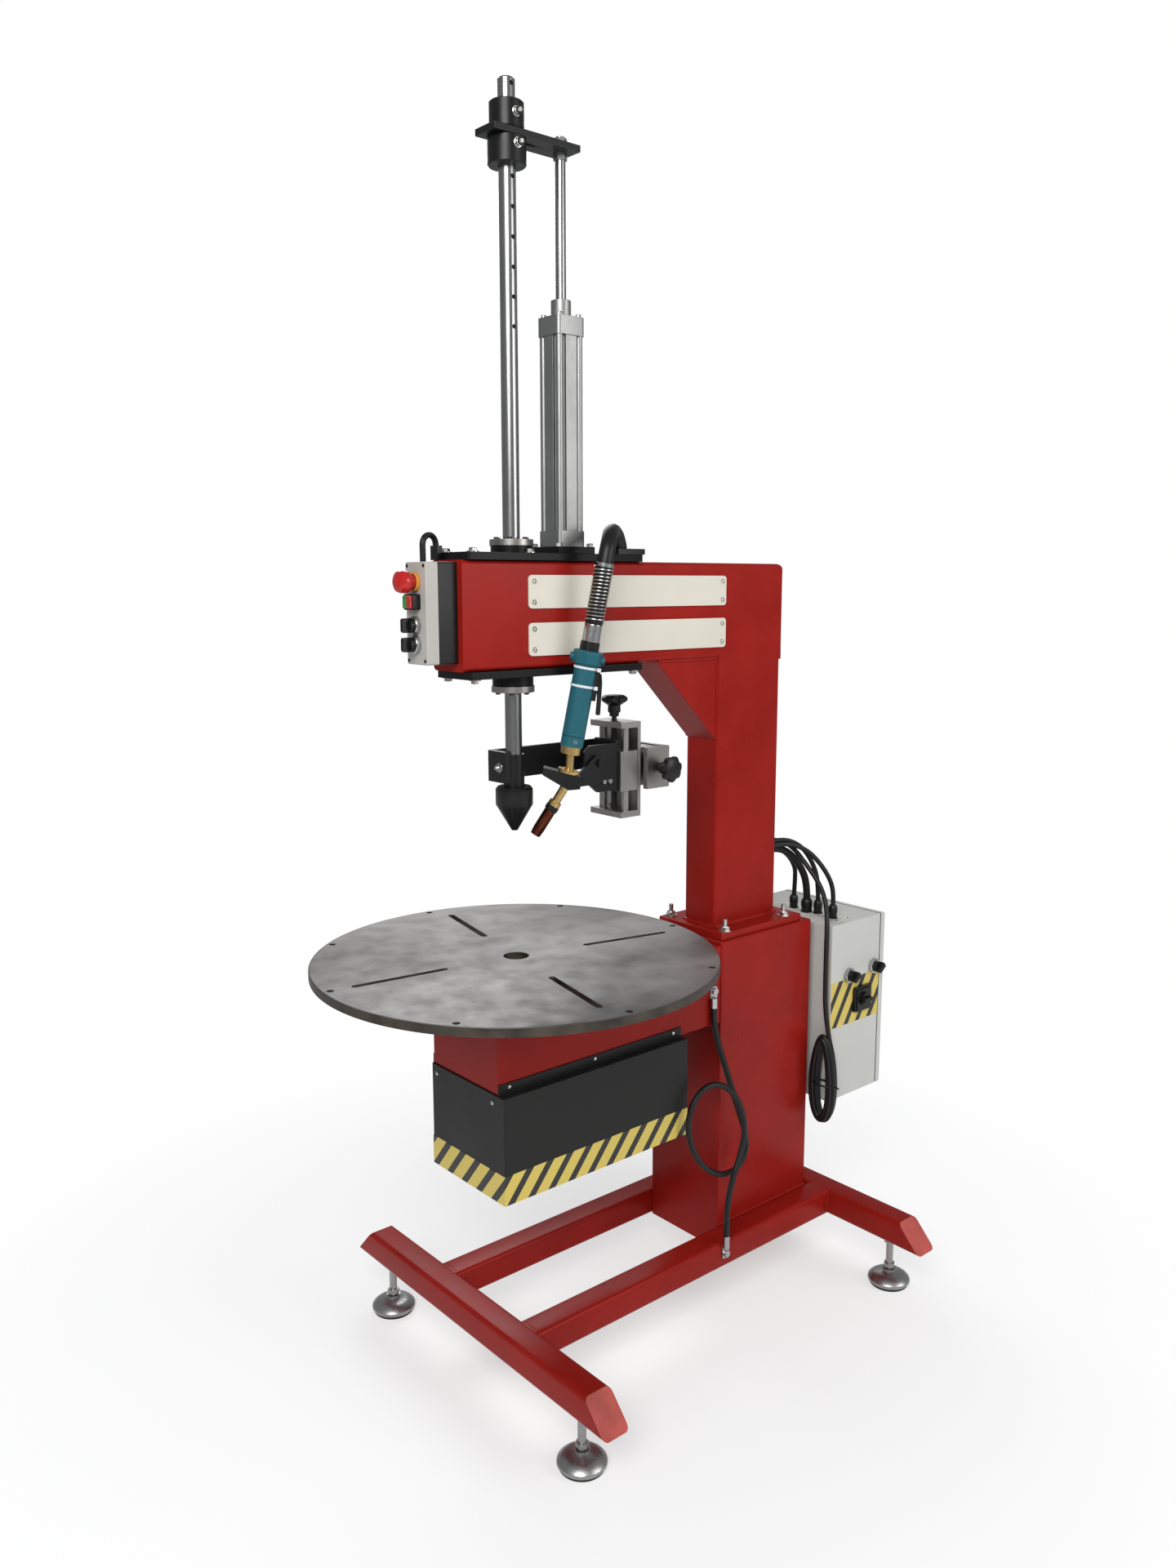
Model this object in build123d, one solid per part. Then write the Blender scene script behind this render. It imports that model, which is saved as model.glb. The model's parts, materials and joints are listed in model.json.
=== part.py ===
from build123d import *
import math
import os

# A welding positioner with a C-frame. All lengths are millimetres. X is across the base, -Y is the
# operator's side, +Y is the column's side, and +Z is up. Everything is drawn about the spindle's
# axis at floor level, and moved to the origin of the base's box when it is written.

# Base frame of square tube
tube = 60
tube_wall = 4
ground_clearance = 113
leg_half_bottom = 422
leg_end_slant = 56
front_leg_y = -107
rear_leg_y = 817
foot_inset = 97

# Levelling feet
pad_radius = 47
rubber_height = 6
stud_radius = 8

# Pedestal and column
pedestal_half = 107
pedestal_front = 473
pedestal_depth = 298
pedestal_top = 827
pedestal_wall = 5
foot_plate_thickness = 16
foot_plate_inset_x = 9
foot_plate_inset_front = 9
foot_plate_inset_rear = 27
column_width = 96
column_depth = 200
column_front = 511
section_wall = 6
section_corner = 10
column_foot_bolt_radius = 6
column_foot_bolt_x = 84
column_foot_bolt_inset = 24

# Arm
arm_bottom = 1434
arm_height = 200
arm_front = -146
arm_end_corner = 14
gusset_leg = 176
gusset_inset = 4
arm_plate_half = 54
arm_plate_front = -136
arm_plate_rear = 287
arm_plate_thickness = 14

# Quill shaft, its bushes and its air cylinder
shaft_radius = 16
shaft_top = 2470
running_clearance = 0.05
index_pitch = 51
index_count = 9
index_hole_radius = 4
bush_body_radius = 24
bush_disc_radius = 41
bush_disc_thickness = 12
top_housing_height = 13
bottom_housing_height = 19
housing_radius = 39
cylinder_y = 122
cylinder_side = 65
cylinder_corner = 8
cylinder_seat_height = 13
base_cap_height = 30
head_cap_height = 34
barrel_length = 357
bore_radius = 25
tie_rod_radius = 4
rod_radius = 10
gland_radius = 19
gland_height = 31
piston_height = 25
piston_rest = 247

# Cross head that joins the rod to the shaft
cross_plate_bottom = 2371
cross_plate_thickness = 12
cross_plate_half = 29
cross_plate_front = -48
cross_plate_rear = 147
collar_height = 47
upper_collar_radius = 31.5
lower_collar_radius = 35
rod_nut_height = 13
clamp_screw_radius = 4

# Socket, live centre and the bar that carries the torch slides
socket_radius = 20
socket_bottom = 1207.6
socket_top = 1270
centre_gap = 0.3
centre_radius = 36
centre_body = 35
centre_nose_radius = 6
centre_half_angle = 30.5
centre_stub_radius = 10
centre_stub_length = 13
bar_thickness = 8
bar_height = 60
bar_bottom = 1215
bar_x = -42
bar_front = -28
bar_rear = 330

# Torch slides: two of the same unit, one across and one upright
slide_wall = 12
slide_back = 8
guide_radius = 8
screw_radius = 6
cross_x = (-42, 90)
cross_y = (266, 327)
cross_z = (1183, 1267)
cross_guide_y = 298
cross_guide_z = (1200, 1250)
cross_carriage_x = (-2, 58)
lift_x = (-19, 75)
lift_y = (209, 262)
lift_z = (1128, 1320)
lift_guide_y = 232
lift_guide_x = (-5, 61)
lift_carriage_z = (1182, 1262)
knob_radius = 27
knob_lobes = 7

# Torch holder and torch. The torch lies in an upright plane through the spindle's axis.
torch_plane_degrees = 49.7
pivot_y = 152
pivot_z = 1246
pivot_radius = 5
bracket_x = (60, 68)
bracket_front = 120
bracket_wall = 8
clamp_lug_thickness = 8
nozzle_tip = (39.6, 1112.4)
nozzle_tilt = 32
nozzle_length = 66
neck_radius = 8.5
nozzle_radius = 11.2
flange_tilt = 14
neck_seat = (106, 1240)
handle_base = (108.6, 1274)
handle_tilt = 10.5
handle_radius = 22
hose_radius = 15.5

# Table, its shaft and its drive
table_radius = 400
table_top = 869
table_thickness = 18
table_bore_radius = 25
table_hole_radius = 7
table_hole_circle = 386
table_hole_count = 8
slot_width = 14
slot_inner = 150
slot_outer = 345
slot_angles = (-97, -12, 78, 168)
hub_radius = 90
hub_height = 14
table_shaft_radius = 30
beam_half = 107
beam_front = -127
beam_bottom = 648
beam_height = 172
bearing_radius = 62
bearing_height = 15
gear_module = 3
gear_teeth = 54
pinion_teeth = 18
gear_face = 25
gear_top = 618
gear_backlash = 0.35
pressure_angle = 20

# Drive cover of folded sheet
cover_sheet = 3
cover_x = (-110, 130)
cover_rear = 350
cover_bottom = 436
cover_upstand = 20

# Push-button box on the arm's nose
box_half = 33
box_rise = 15
box_height = 181
box_base_depth = 40
box_cover_depth = 26
box_wall = 3
estop_drop = 35
start_stop_drop = 70
selector_drops = (111, 145)
stem_radius = 8
estop_travel = 5
estop_stand_off = 8

# Electrical cabinet behind the pedestal
cabinet_half = 150
cabinet_front = 796
cabinet_depth = 182
cabinet_bottom = 386
cabinet_top = 812
cabinet_sheet = 3
door_depth = 15
door_gap = 0.3
hinge_radius = 5
hinge_pin_radius = 2.5
hinge_rises = (64, 334)
cabinet_knob_insets = (64, 157)
cabinet_knob_drops = (129, 124)
main_switch_inset = 113
main_switch_drop = 194
gland_insets = ((-18, 61, 5.5), (27, 55, 8.5), (54, 64, 5.5), (105, 56, 5.5))

# Nameplates, left bare
nameplate_y = (1, 529)
nameplate_height = 61.5
nameplate_rises = (24, 112)
nameplate_thickness = 3

# Cords
earth_radius = 6.5
top_lug_hole = (448, 725)
low_lug_hole = (434, 147)
lead_radius = 5.5
control_radius = 5.5
coil_radius = 14
coil_centre = (149, 778, 450)
coil_bend = 26
coil_straight = 154

# Sizes that follow from the ones above
leg_top = ground_clearance + tube
leg_half_top = leg_half_bottom - leg_end_slant
foot_x = leg_half_bottom - foot_inset
base_gap_front = front_leg_y + tube / 2
base_gap_rear = rear_leg_y - tube / 2
beam_centre_x = pedestal_half + tube / 2
pedestal_rear = pedestal_front + pedestal_depth
column_foot_top = pedestal_top + foot_plate_thickness
column_half = column_width / 2
column_rear = column_front + column_depth
arm_top = arm_bottom + arm_height
plate_top = arm_top + arm_plate_thickness
plate_bottom = arm_bottom - arm_plate_thickness
cylinder_base = plate_top + cylinder_seat_height
barrel_bottom = cylinder_base + base_cap_height
barrel_top = barrel_bottom + barrel_length
head_top = barrel_top + head_cap_height
cross_plate_top = cross_plate_bottom + cross_plate_thickness
table_under = table_top - table_thickness
hub_bottom = table_under - hub_height
beam_top = beam_bottom + beam_height
gear_pitch_radius = gear_module * gear_teeth / 2
pinion_pitch_radius = gear_module * pinion_teeth / 2
gear_centres = gear_pitch_radius + pinion_pitch_radius
cover_front = beam_front - cover_sheet
box_bottom = arm_bottom + box_rise
box_top = box_bottom + box_height
estop_z = box_top - estop_drop
start_stop_z = box_top - start_stop_drop
selector_z = tuple(box_top - drop for drop in selector_drops)
box_base_front = arm_front - box_base_depth
box_front = box_base_front - box_cover_depth
cabinet_rear = cabinet_front + cabinet_depth
hinge_z = tuple(cabinet_bottom + rise for rise in hinge_rises)
cabinet_knob_y = tuple(cabinet_front + inset for inset in cabinet_knob_insets)
cabinet_knob_z = tuple(cabinet_top - drop for drop in cabinet_knob_drops)
main_switch_y = cabinet_front + main_switch_inset
main_switch_z = cabinet_top - main_switch_drop
gland_places = tuple((x, cabinet_front + inset, cable) for x, inset, cable in gland_insets)
lift_centre_x = (lift_x[0] + lift_x[1]) / 2
cross_screw_z = (cross_guide_z[0] + cross_guide_z[1]) / 2
door_rear = cabinet_rear + door_gap + door_depth
hinge_x = -cabinet_half - hinge_radius - 2
origin_y = (door_rear - table_radius) / 2


# Helpers

def block(x, y, z):
    """A box between two values on each axis."""
    centre = [(a + b) / 2 for a, b in (x, y, z)]
    return Pos(*centre) * Box(x[1] - x[0], y[1] - y[0], z[1] - z[0])


def upright(radius, z, x=0, y=0):
    """A round bar standing along Z."""
    return Pos(x, y, (z[0] + z[1]) / 2) * Cylinder(radius, z[1] - z[0])


def along_x(radius, x, y, z):
    """A round bar lying along X."""
    return Pos((x[0] + x[1]) / 2, y, z) * Rot(0, 90, 0) * Cylinder(radius, x[1] - x[0])


def along_y(radius, y, x, z):
    """A round bar lying along Y."""
    return Pos(x, (y[0] + y[1]) / 2, z) * Rot(90, 0, 0) * Cylinder(radius, y[1] - y[0])


def soft_block(x, y, z, radius):
    """A box with rounded upright edges."""
    outline = Pos((x[0] + x[1]) / 2, (y[0] + y[1]) / 2, z[0]) * RectangleRounded(x[1] - x[0], y[1] - y[0], radius)
    return extrude(outline, amount=z[1] - z[0])


def prism_y(outline, y):
    """An outline of (x, z) points, drawn out along Y."""
    face = Plane(origin=(0, y[0], 0), x_dir=(1, 0, 0), z_dir=(0, -1, 0)) * outline
    return extrude(face, amount=y[1] - y[0], dir=(0, 1, 0))


def prism_x(outline, x):
    """An outline of (y, z) points, drawn out along X."""
    face = Plane(origin=(x[0], 0, 0), x_dir=(0, 1, 0), z_dir=(1, 0, 0)) * outline
    return extrude(face, amount=x[1] - x[0], dir=(1, 0, 0))


def turned(profile):
    """A solid of revolution about the local Z axis from (radius, height) points."""
    return revolve(Plane.XZ * Polygon(*profile, align=None), Axis.Z)


def group(*shapes):
    """Separate solids that share one node."""
    return Compound([solid for shape in shapes for solid in shape.solids()])


def route_radii(points):
    """The largest bend that each corner of a cord's route leaves room for."""
    radii = []
    for before, here, after in zip(points, points[1:], points[2:]):
        first = Vector(*here) - Vector(*before)
        second = Vector(*after) - Vector(*here)
        turn = math.radians(first.get_angle(second))
        radii.append(0.45 * min(first.length, second.length) / math.tan(turn / 2))
    return radii


def cord(name, points, radius):
    """A round cord along straight runs joined by tangent arcs."""
    radii = route_radii(points)
    path = FilletPolyline(*points, radius=radii)
    start = Plane(origin=points[0], z_dir=Vector(*points[1]) - Vector(*points[0]))
    tube_solid = sweep(start * Circle(radius), path=path)
    expected = math.pi * radius ** 2 * path.length
    print(name, "length", round(path.length), "radii", [round(r) for r in radii],
          "volume share", round(tube_solid.volume / expected, 3))
    return tube_solid


# Base frame

def cross_leg(y):
    """A cross tube with ends cut on the slant."""
    side = tube / 2
    outline = Polygon((-leg_half_bottom, ground_clearance), (leg_half_bottom, ground_clearance),
                      (leg_half_top, leg_top), (-leg_half_top, leg_top), align=None)
    inner_half = leg_half_top - leg_end_slant / 2
    bore = block((-inner_half, inner_half), (y - side + tube_wall, y + side - tube_wall),
                 (ground_clearance + tube_wall, leg_top - tube_wall))
    leg = prism_y(outline, (y - side, y + side)) - bore
    for x in (-foot_x, foot_x):
        leg -= upright(stud_radius, (ground_clearance - 1, ground_clearance + tube_wall + 1), x, y)
    return leg


def base_beam(side):
    """A tube that joins the two cross legs."""
    inner = tube / 2 - tube_wall
    centre = side * beam_centre_x
    length = (base_gap_front, base_gap_rear)
    bore = block((centre - inner, centre + inner), (length[0] + tube_wall, length[1] - tube_wall),
                 (ground_clearance + tube_wall, leg_top - tube_wall))
    return block((centre - tube / 2, centre + tube / 2), length, (ground_clearance, leg_top)) - bore


def levelling_foot(x, y):
    """A domed pad with its ball neck, stud and nuts."""
    dome = turned([(0, rubber_height), (pad_radius - 2, rubber_height), (pad_radius, rubber_height + 3),
                   (pad_radius, 14), (pad_radius - 3, 18), (34, 25), (22, 28), (15, 31), (15, 37), (0, 37)])
    stud = upright(stud_radius, (30, ground_clearance + 30))
    neck_hex = extrude(Pos(0, 0, 40) * RegularPolygon(13, 6), amount=10)
    jam_nut = extrude(Pos(0, 0, ground_clearance - 13) * RegularPolygon(14, 6), amount=13)
    return Pos(x, y, 0) * (dome + stud + neck_hex + jam_nut)


def foot_rubber(x, y):
    return upright(pad_radius - 4, (0, rubber_height), x, y)


# Pedestal, column and arm

def pedestal():
    outer = block((-pedestal_half, pedestal_half), (pedestal_front, pedestal_rear), (ground_clearance, pedestal_top))
    wall = pedestal_wall
    inner = block((-pedestal_half + wall, pedestal_half - wall), (pedestal_front + wall, pedestal_rear - wall),
                  (ground_clearance + wall, pedestal_top - 2 * wall))
    return outer - inner


def column():
    """The upright tube, welded to its bolted foot plate."""
    plate_y = (pedestal_front + foot_plate_inset_front, pedestal_rear - foot_plate_inset_rear)
    half_plate = pedestal_half - foot_plate_inset_x
    plate = block((-half_plate, half_plate), plate_y, (pedestal_top, column_foot_top))
    post = soft_block((-column_half, column_half), (column_front, column_rear),
                      (column_foot_top, arm_bottom), section_corner)
    wall = section_wall
    post -= block((-column_half + wall, column_half - wall), (column_front + wall, column_rear - wall),
                  (column_foot_top + wall, arm_bottom - wall))
    column_part = plate + post
    for x in (-column_foot_bolt_x, column_foot_bolt_x):
        for y in (plate_y[0] + column_foot_bolt_inset, column_rear - column_foot_bolt_inset / 2):
            column_part -= upright(column_foot_bolt_radius, (pedestal_top - 1, column_foot_top + 1), x, y)
    column_part -= along_y(30, (column_rear - wall - 1, column_rear + 1), 15, 994)
    return column_part


def arm():
    """The arm tube with its front cap, the holes for the bushes, and the boxed gusset under its root."""
    outline = Pos(0, (arm_bottom + arm_top) / 2) * RectangleRounded(column_width, arm_height, section_corner)
    outer = prism_y(outline, (arm_front, column_rear))
    side = fillet(Polygon((arm_front, arm_bottom), (column_rear, arm_bottom), (column_rear, arm_top),
                          (arm_front, arm_top), align=None).vertices().group_by(Axis.X)[-1].sort_by(Axis.Y)[-1],
                  arm_end_corner)
    outer &= prism_x(side, (-column_half, column_half))
    wall = section_wall
    inner = block((-column_half + wall, column_half - wall), (arm_front + wall, column_rear - wall),
                  (arm_bottom + wall, arm_top - wall))
    body = outer - inner
    half = column_half - gusset_inset
    gusset = prism_x(Polygon((column_front - gusset_leg, arm_bottom), (column_front, arm_bottom - gusset_leg),
                             (column_front, arm_bottom), align=None), (-half, half))
    body += gusset
    body -= upright(bush_body_radius, (arm_bottom - 1, arm_top + 1))
    return body


def arm_plate(z, bush_z):
    """A stiffening plate on the arm, with the ring that holds a bush."""
    plate = soft_block((-arm_plate_half, arm_plate_half), (arm_plate_front, arm_plate_rear), z, 6)
    return plate + upright(housing_radius, bush_z) - upright(bush_body_radius, (z[0] - 60, z[1] + 60))


def arm_plates():
    """Both plates and the seat of the cylinder."""
    top = arm_plate((arm_top, plate_top), (plate_top, plate_top + top_housing_height))
    bottom = arm_plate((plate_bottom, arm_bottom), (plate_bottom - bottom_housing_height, plate_bottom))
    seat = block((-45, 45), (cylinder_y - 45, cylinder_y + 45), (plate_top, cylinder_base))
    return group(top, bottom, seat)


def quill_bush(disc_z, body_z):
    """A flanged bush: the disc shows, and the body sits in the arm."""
    bush = upright(bush_disc_radius, disc_z) + upright(bush_body_radius, body_z)
    both = (min(disc_z[0], body_z[0]) - 1, max(disc_z[1], body_z[1]) + 1)
    return bush - upright(shaft_radius + running_clearance, both)


def quill_bushes():
    top_seat = plate_top + top_housing_height
    bottom_seat = plate_bottom - bottom_housing_height
    inside = 30
    return group(quill_bush((top_seat, top_seat + bush_disc_thickness), (arm_top - inside, top_seat)),
                 quill_bush((bottom_seat - bush_disc_thickness, bottom_seat), (bottom_seat, arm_bottom + inside)))


# Air cylinder

def cylinder_cap(z):
    cap = soft_block((-cylinder_side / 2, cylinder_side / 2), (cylinder_y - cylinder_side / 2, cylinder_y + cylinder_side / 2),
                     z, cylinder_corner)
    middle = (z[0] + z[1]) / 2
    cap -= along_x(6, (-cylinder_side / 2 - 1, -cylinder_side / 2 + 12), cylinder_y, middle)
    return cap


def cylinder_body():
    """Base cap, profiled barrel and head cap with its rod gland."""
    base = cylinder_cap((cylinder_base, barrel_bottom))
    head = cylinder_cap((barrel_top, head_top))
    head += upright(gland_radius, (head_top, head_top + gland_height), 0, cylinder_y)
    head -= upright(rod_radius + running_clearance, (barrel_top - 1, head_top + gland_height + 1), 0, cylinder_y)
    corner = cylinder_side / 2 - 9
    barrel = upright(bore_radius + 4, (barrel_bottom, barrel_top), 0, cylinder_y)
    for x in (-corner, corner):
        for y in (-corner, corner):
            barrel += upright(tie_rod_radius + 3, (barrel_bottom, barrel_top), x, cylinder_y + y)
    flat = cylinder_side / 2 - 2
    barrel += block((-flat, flat), (cylinder_y - 13, cylinder_y + 13), (barrel_bottom, barrel_top))
    barrel += block((-13, 13), (cylinder_y - flat, cylinder_y + flat), (barrel_bottom, barrel_top))
    barrel -= upright(bore_radius, (barrel_bottom - 1, barrel_top + 1), 0, cylinder_y)
    return group(base, barrel, head)


def piston_rod():
    """Rod and piston, with the nuts that hold the cross plate."""
    piston_bottom = barrel_bottom + piston_rest
    rod = upright(rod_radius, (piston_bottom, cross_plate_bottom - rod_nut_height), 0, cylinder_y)
    rod += upright(rod_radius - 2, (cross_plate_bottom - rod_nut_height, cross_plate_top + 16), 0, cylinder_y)
    rod += upright(bore_radius - running_clearance, (piston_bottom, piston_bottom + piston_height), 0, cylinder_y)
    for z in (cross_plate_bottom - rod_nut_height, cross_plate_top):
        rod += extrude(Pos(0, cylinder_y, z) * RegularPolygon(13, 6), amount=rod_nut_height)
    return rod


# Quill

def quill_shaft():
    """The long ground shaft with its row of index holes."""
    bottom = socket_bottom + centre_stub_length + 2
    shaft = chamfer(upright(shaft_radius, (bottom, shaft_top)).edges().sort_by(Axis.Z)[-1], 3)
    first = shaft_top - shaft_radius + index_hole_radius
    for step in range(index_count):
        shaft -= along_x(index_hole_radius, (-shaft_radius - 1, shaft_radius + 1), 0, first - step * index_pitch)
    return shaft


def clamp_collar(radius, z, screw_z):
    collar = upright(radius, z) - upright(shaft_radius, (z[0] - 1, z[1] + 1))
    rim = collar.edges().filter_by(GeomType.CIRCLE).filter_by(lambda edge: edge.radius > shaft_radius + 1)
    collar = chamfer(rim, 2)
    return collar - along_x(clamp_screw_radius, (0, radius + 1), 0, screw_z)


def clamp_screw(radius, z):
    """A cap screw with its point in an index hole of the shaft."""
    inner = shaft_radius - 6
    head = along_x(7, (radius, radius + 9), 0, z)
    return along_x(index_hole_radius, (inner, radius), 0, z) + head


def cross_head():
    """The cross plate, with a clamp collar and its index screw above and below it."""
    plate = block((-cross_plate_half, cross_plate_half), (cross_plate_front, cross_plate_rear),
                  (cross_plate_bottom, cross_plate_top))
    plate -= upright(shaft_radius, (cross_plate_bottom - 1, cross_plate_top + 1))
    plate -= upright(rod_radius - 2, (cross_plate_bottom - 1, cross_plate_top + 1), 0, cylinder_y)
    first = shaft_top - shaft_radius + index_hole_radius
    upper_z = first - index_pitch
    lower_z = first - 2 * index_pitch
    upper = clamp_collar(upper_collar_radius, (cross_plate_top, cross_plate_top + collar_height), upper_z)
    lower = clamp_collar(lower_collar_radius, (cross_plate_bottom - collar_height, cross_plate_bottom), lower_z)
    return group(plate, upper, lower,
                 clamp_screw(upper_collar_radius, upper_z), clamp_screw(lower_collar_radius, lower_z))


def torch_arm():
    """The socket at the foot of the shaft and the bent flat bar welded to it."""
    bar_z = (bar_bottom, bar_bottom + bar_height)
    outer = bar_x - bar_thickness
    bar = block((outer, bar_x), (bar_front + bar_thickness, bar_rear), bar_z)
    front = block((outer, socket_radius / 2), (bar_front, bar_front + bar_thickness + 4), bar_z)
    bend = front.edges().filter_by(Axis.Z).sort_by(lambda edge: edge.center().X + edge.center().Y)[0]
    body = bar + fillet(bend, 7)
    body += upright(socket_radius, (socket_bottom, socket_top))
    body -= upright(shaft_radius, (socket_bottom + centre_stub_length + 2, socket_top + 1))
    body -= upright(centre_stub_radius + running_clearance, (socket_bottom - 1, socket_bottom + centre_stub_length + 2))
    return body


def live_centre():
    """The turning centre that presses on the work: a drum with a cone nose."""
    top = socket_bottom - centre_gap
    shoulder = top - centre_body
    cone = (centre_radius - centre_nose_radius) / math.tan(math.radians(centre_half_angle))
    drum = turned([(0, shoulder - cone), (centre_nose_radius, shoulder - cone), (centre_radius, shoulder),
                   (centre_radius, top - 5), (centre_radius - 4, top), (0, top)])
    return drum + upright(centre_stub_radius, (top - 1, socket_bottom + centre_stub_length))


# Torch slides

def cross_slide_frame():
    """The fixed part of the slide that moves the torch across: two end plates, a back and two guides."""
    frame = block((cross_x[0], cross_x[0] + slide_wall), cross_y, cross_z)
    frame += block((cross_x[1] - slide_wall, cross_x[1]), cross_y, cross_z)
    frame += block(cross_x, (cross_y[1] - slide_back, cross_y[1]), cross_z)
    for z in cross_guide_z:
        frame += along_x(guide_radius, (cross_x[0] + slide_wall, cross_x[1] - slide_wall), cross_guide_y, z)
    frame -= along_x(screw_radius + running_clearance, (cross_x[0] + 2, cross_x[1] + 1), cross_guide_y, cross_screw_z)
    return frame


def cross_carriage():
    """The block that runs on the guides and carries the upright slide."""
    depth = (lift_y[1], cross_y[1] - slide_back - 1)
    height = (cross_z[0] + 3, cross_z[1] - 3)
    carriage = block(cross_carriage_x, depth, height)
    reach = (cross_carriage_x[0] - 1, cross_carriage_x[1] + 1)
    for z in cross_guide_z:
        carriage -= along_x(guide_radius + running_clearance, reach, cross_guide_y, z)
    return carriage - along_x(screw_radius + running_clearance, reach, cross_guide_y, cross_screw_z)


def lobed_knob(stem):
    """A lobed hand knob on its hub, nut and stem, standing on the local XY plane."""
    lobes = Circle(knob_radius - 6)
    for turn in range(knob_lobes):
        lobes += Rot(0, 0, 360 * turn / knob_lobes) * Pos(knob_radius - 7, 0) * Circle(7)
    profile = turned([(0, 8), (12, 8), (13, 12), (12.5, 22), (knob_radius - 6, 28), (knob_radius, 32),
                      (knob_radius, 38), (knob_radius - 7, 42.5), (0, 43.5)])
    head = profile & extrude(lobes, amount=50)
    nut = extrude(RegularPolygon(10, 6), amount=8)
    neck = Pos(0, 0, stem / 2) * Cylinder(5, stem)
    return neck + Pos(0, 0, stem) * (head + nut)


def cross_screw():
    """The lead screw of the cross slide, with its hand knob."""
    shaft = along_x(screw_radius, (cross_x[0] + 3, cross_x[1] + 2), cross_guide_y, cross_screw_z)
    return shaft + Pos(cross_x[1], cross_guide_y, cross_screw_z) * Rot(0, 90, 0) * lobed_knob(1)


def lift_slide_frame():
    """The fixed part of the upright slide."""
    frame = block(lift_x, lift_y, (lift_z[0], lift_z[0] + slide_wall))
    frame += block(lift_x, lift_y, (lift_z[1] - slide_wall, lift_z[1]))
    frame += block(lift_x, (lift_y[1] - slide_back, lift_y[1]), lift_z)
    for x in lift_guide_x:
        frame += upright(guide_radius, (lift_z[0] + slide_wall, lift_z[1] - slide_wall), x, lift_guide_y)
    return frame - upright(screw_radius + running_clearance, (lift_z[0] + 2, lift_z[1] + 1), lift_centre_x, lift_guide_y)


def lift_carriage():
    """The block that carries the torch bracket up and down."""
    carriage = block(lift_x, (lift_y[0] - 1, lift_y[1] - slide_back - 1), lift_carriage_z)
    reach = (lift_carriage_z[0] - 1, lift_carriage_z[1] + 1)
    for x in lift_guide_x:
        carriage -= upright(guide_radius + running_clearance, reach, x, lift_guide_y)
    return carriage - upright(screw_radius + running_clearance, reach, lift_centre_x, lift_guide_y)


def lift_screw():
    """The lead screw of the upright slide, with its hand knob."""
    shaft = upright(screw_radius, (lift_z[0] + 3, lift_z[1] + 2), lift_centre_x, lift_guide_y)
    return shaft + Pos(lift_centre_x, lift_guide_y, lift_z[1]) * lobed_knob(8)


# Torch holder and torch

def torch_bracket():
    """An angle plate on the carriage, with the ear that the clamp swivels on."""
    face = lift_y[0] - 1
    base = block((4, bracket_x[1]), (face - bracket_wall, face), (lift_carriage_z[0], pivot_z + 40))
    low, high = (pivot_z - 60, pivot_z + 34)
    back = face - bracket_wall
    ear = prism_x(Polygon((back, low), (back, high), (bracket_front + 14, high), (bracket_front, high - 12),
                          (bracket_front, low + 28), (bracket_front + 34, low), align=None), bracket_x)
    return base + ear - along_x(pivot_radius, (bracket_x[0] - 1, bracket_x[1] + 1), pivot_y, pivot_z)


def in_torch_plane(shape):
    """Turns what is drawn with X away from the spindle into the torch's plane."""
    return Rot(0, 0, torch_plane_degrees) * shape


def torch_clamp():
    """The jaw block round the torch's neck, its ear and its swivel pin."""
    u, z = neck_seat
    jaw = prism_y(Polygon((u - 51, z - 9), (u - 49, z + 5), (u + 23, z - 13), (u + 21, z - 37), (u - 1, z - 39),
                          align=None), (-17, 17))
    jaw = in_torch_plane(jaw - neck_solid(neck_radius))
    ear_x = (bracket_x[1] + 0.3, bracket_x[1] + 0.3 + clamp_lug_thickness)
    ear = prism_x(Polygon((pivot_y - 55, pivot_z - 42), (pivot_y - 55, pivot_z - 20), (pivot_y - 8, pivot_z + 15),
                          (pivot_y + 9, pivot_z + 13), (pivot_y + 12, pivot_z - 10), (pivot_y, pivot_z - 42),
                          align=None), ear_x)
    pin = along_x(pivot_radius - running_clearance, (bracket_x[0] - 8, ear_x[1] + 1), pivot_y, pivot_z)
    heads = along_x(8, (ear_x[1], ear_x[1] + 6), pivot_y, pivot_z)
    heads += along_x(8.5, (bracket_x[0] - 8, bracket_x[0] - 0.3), pivot_y, pivot_z)
    return jaw + (ear - in_torch_plane(neck_solid(neck_radius + 6))) + pin + heads


def on_nozzle(shape):
    """Moves what is drawn up the local Z axis to the nozzle's place in the torch's plane."""
    return Pos(nozzle_tip[0], 0, nozzle_tip[1]) * Rot(0, nozzle_tilt, 0) * shape


def on_handle(shape):
    """Moves what is drawn up the local Z axis to the handle's place in the torch's plane."""
    return Pos(handle_base[0], 0, handle_base[1]) * Rot(0, handle_tilt, 0) * shape


def neck_path():
    """The gooseneck's centre line, from the nozzle up to the handle, in the torch's plane."""
    tilt = math.radians(nozzle_tilt)
    start = (nozzle_tip[0] + nozzle_length * math.sin(tilt), 0, nozzle_tip[1] + nozzle_length * math.cos(tilt))
    u, z = neck_seat
    return FilletPolyline(start, (u - 10, 0, z - 37.3), (u, 0, z), (u + 3.3, 0, z + 43), radius=40)


def neck_solid(radius):
    path = neck_path()
    start = Plane(origin=path @ 0, z_dir=path % 0)
    return sweep(start * Circle(radius), path=path)


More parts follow.
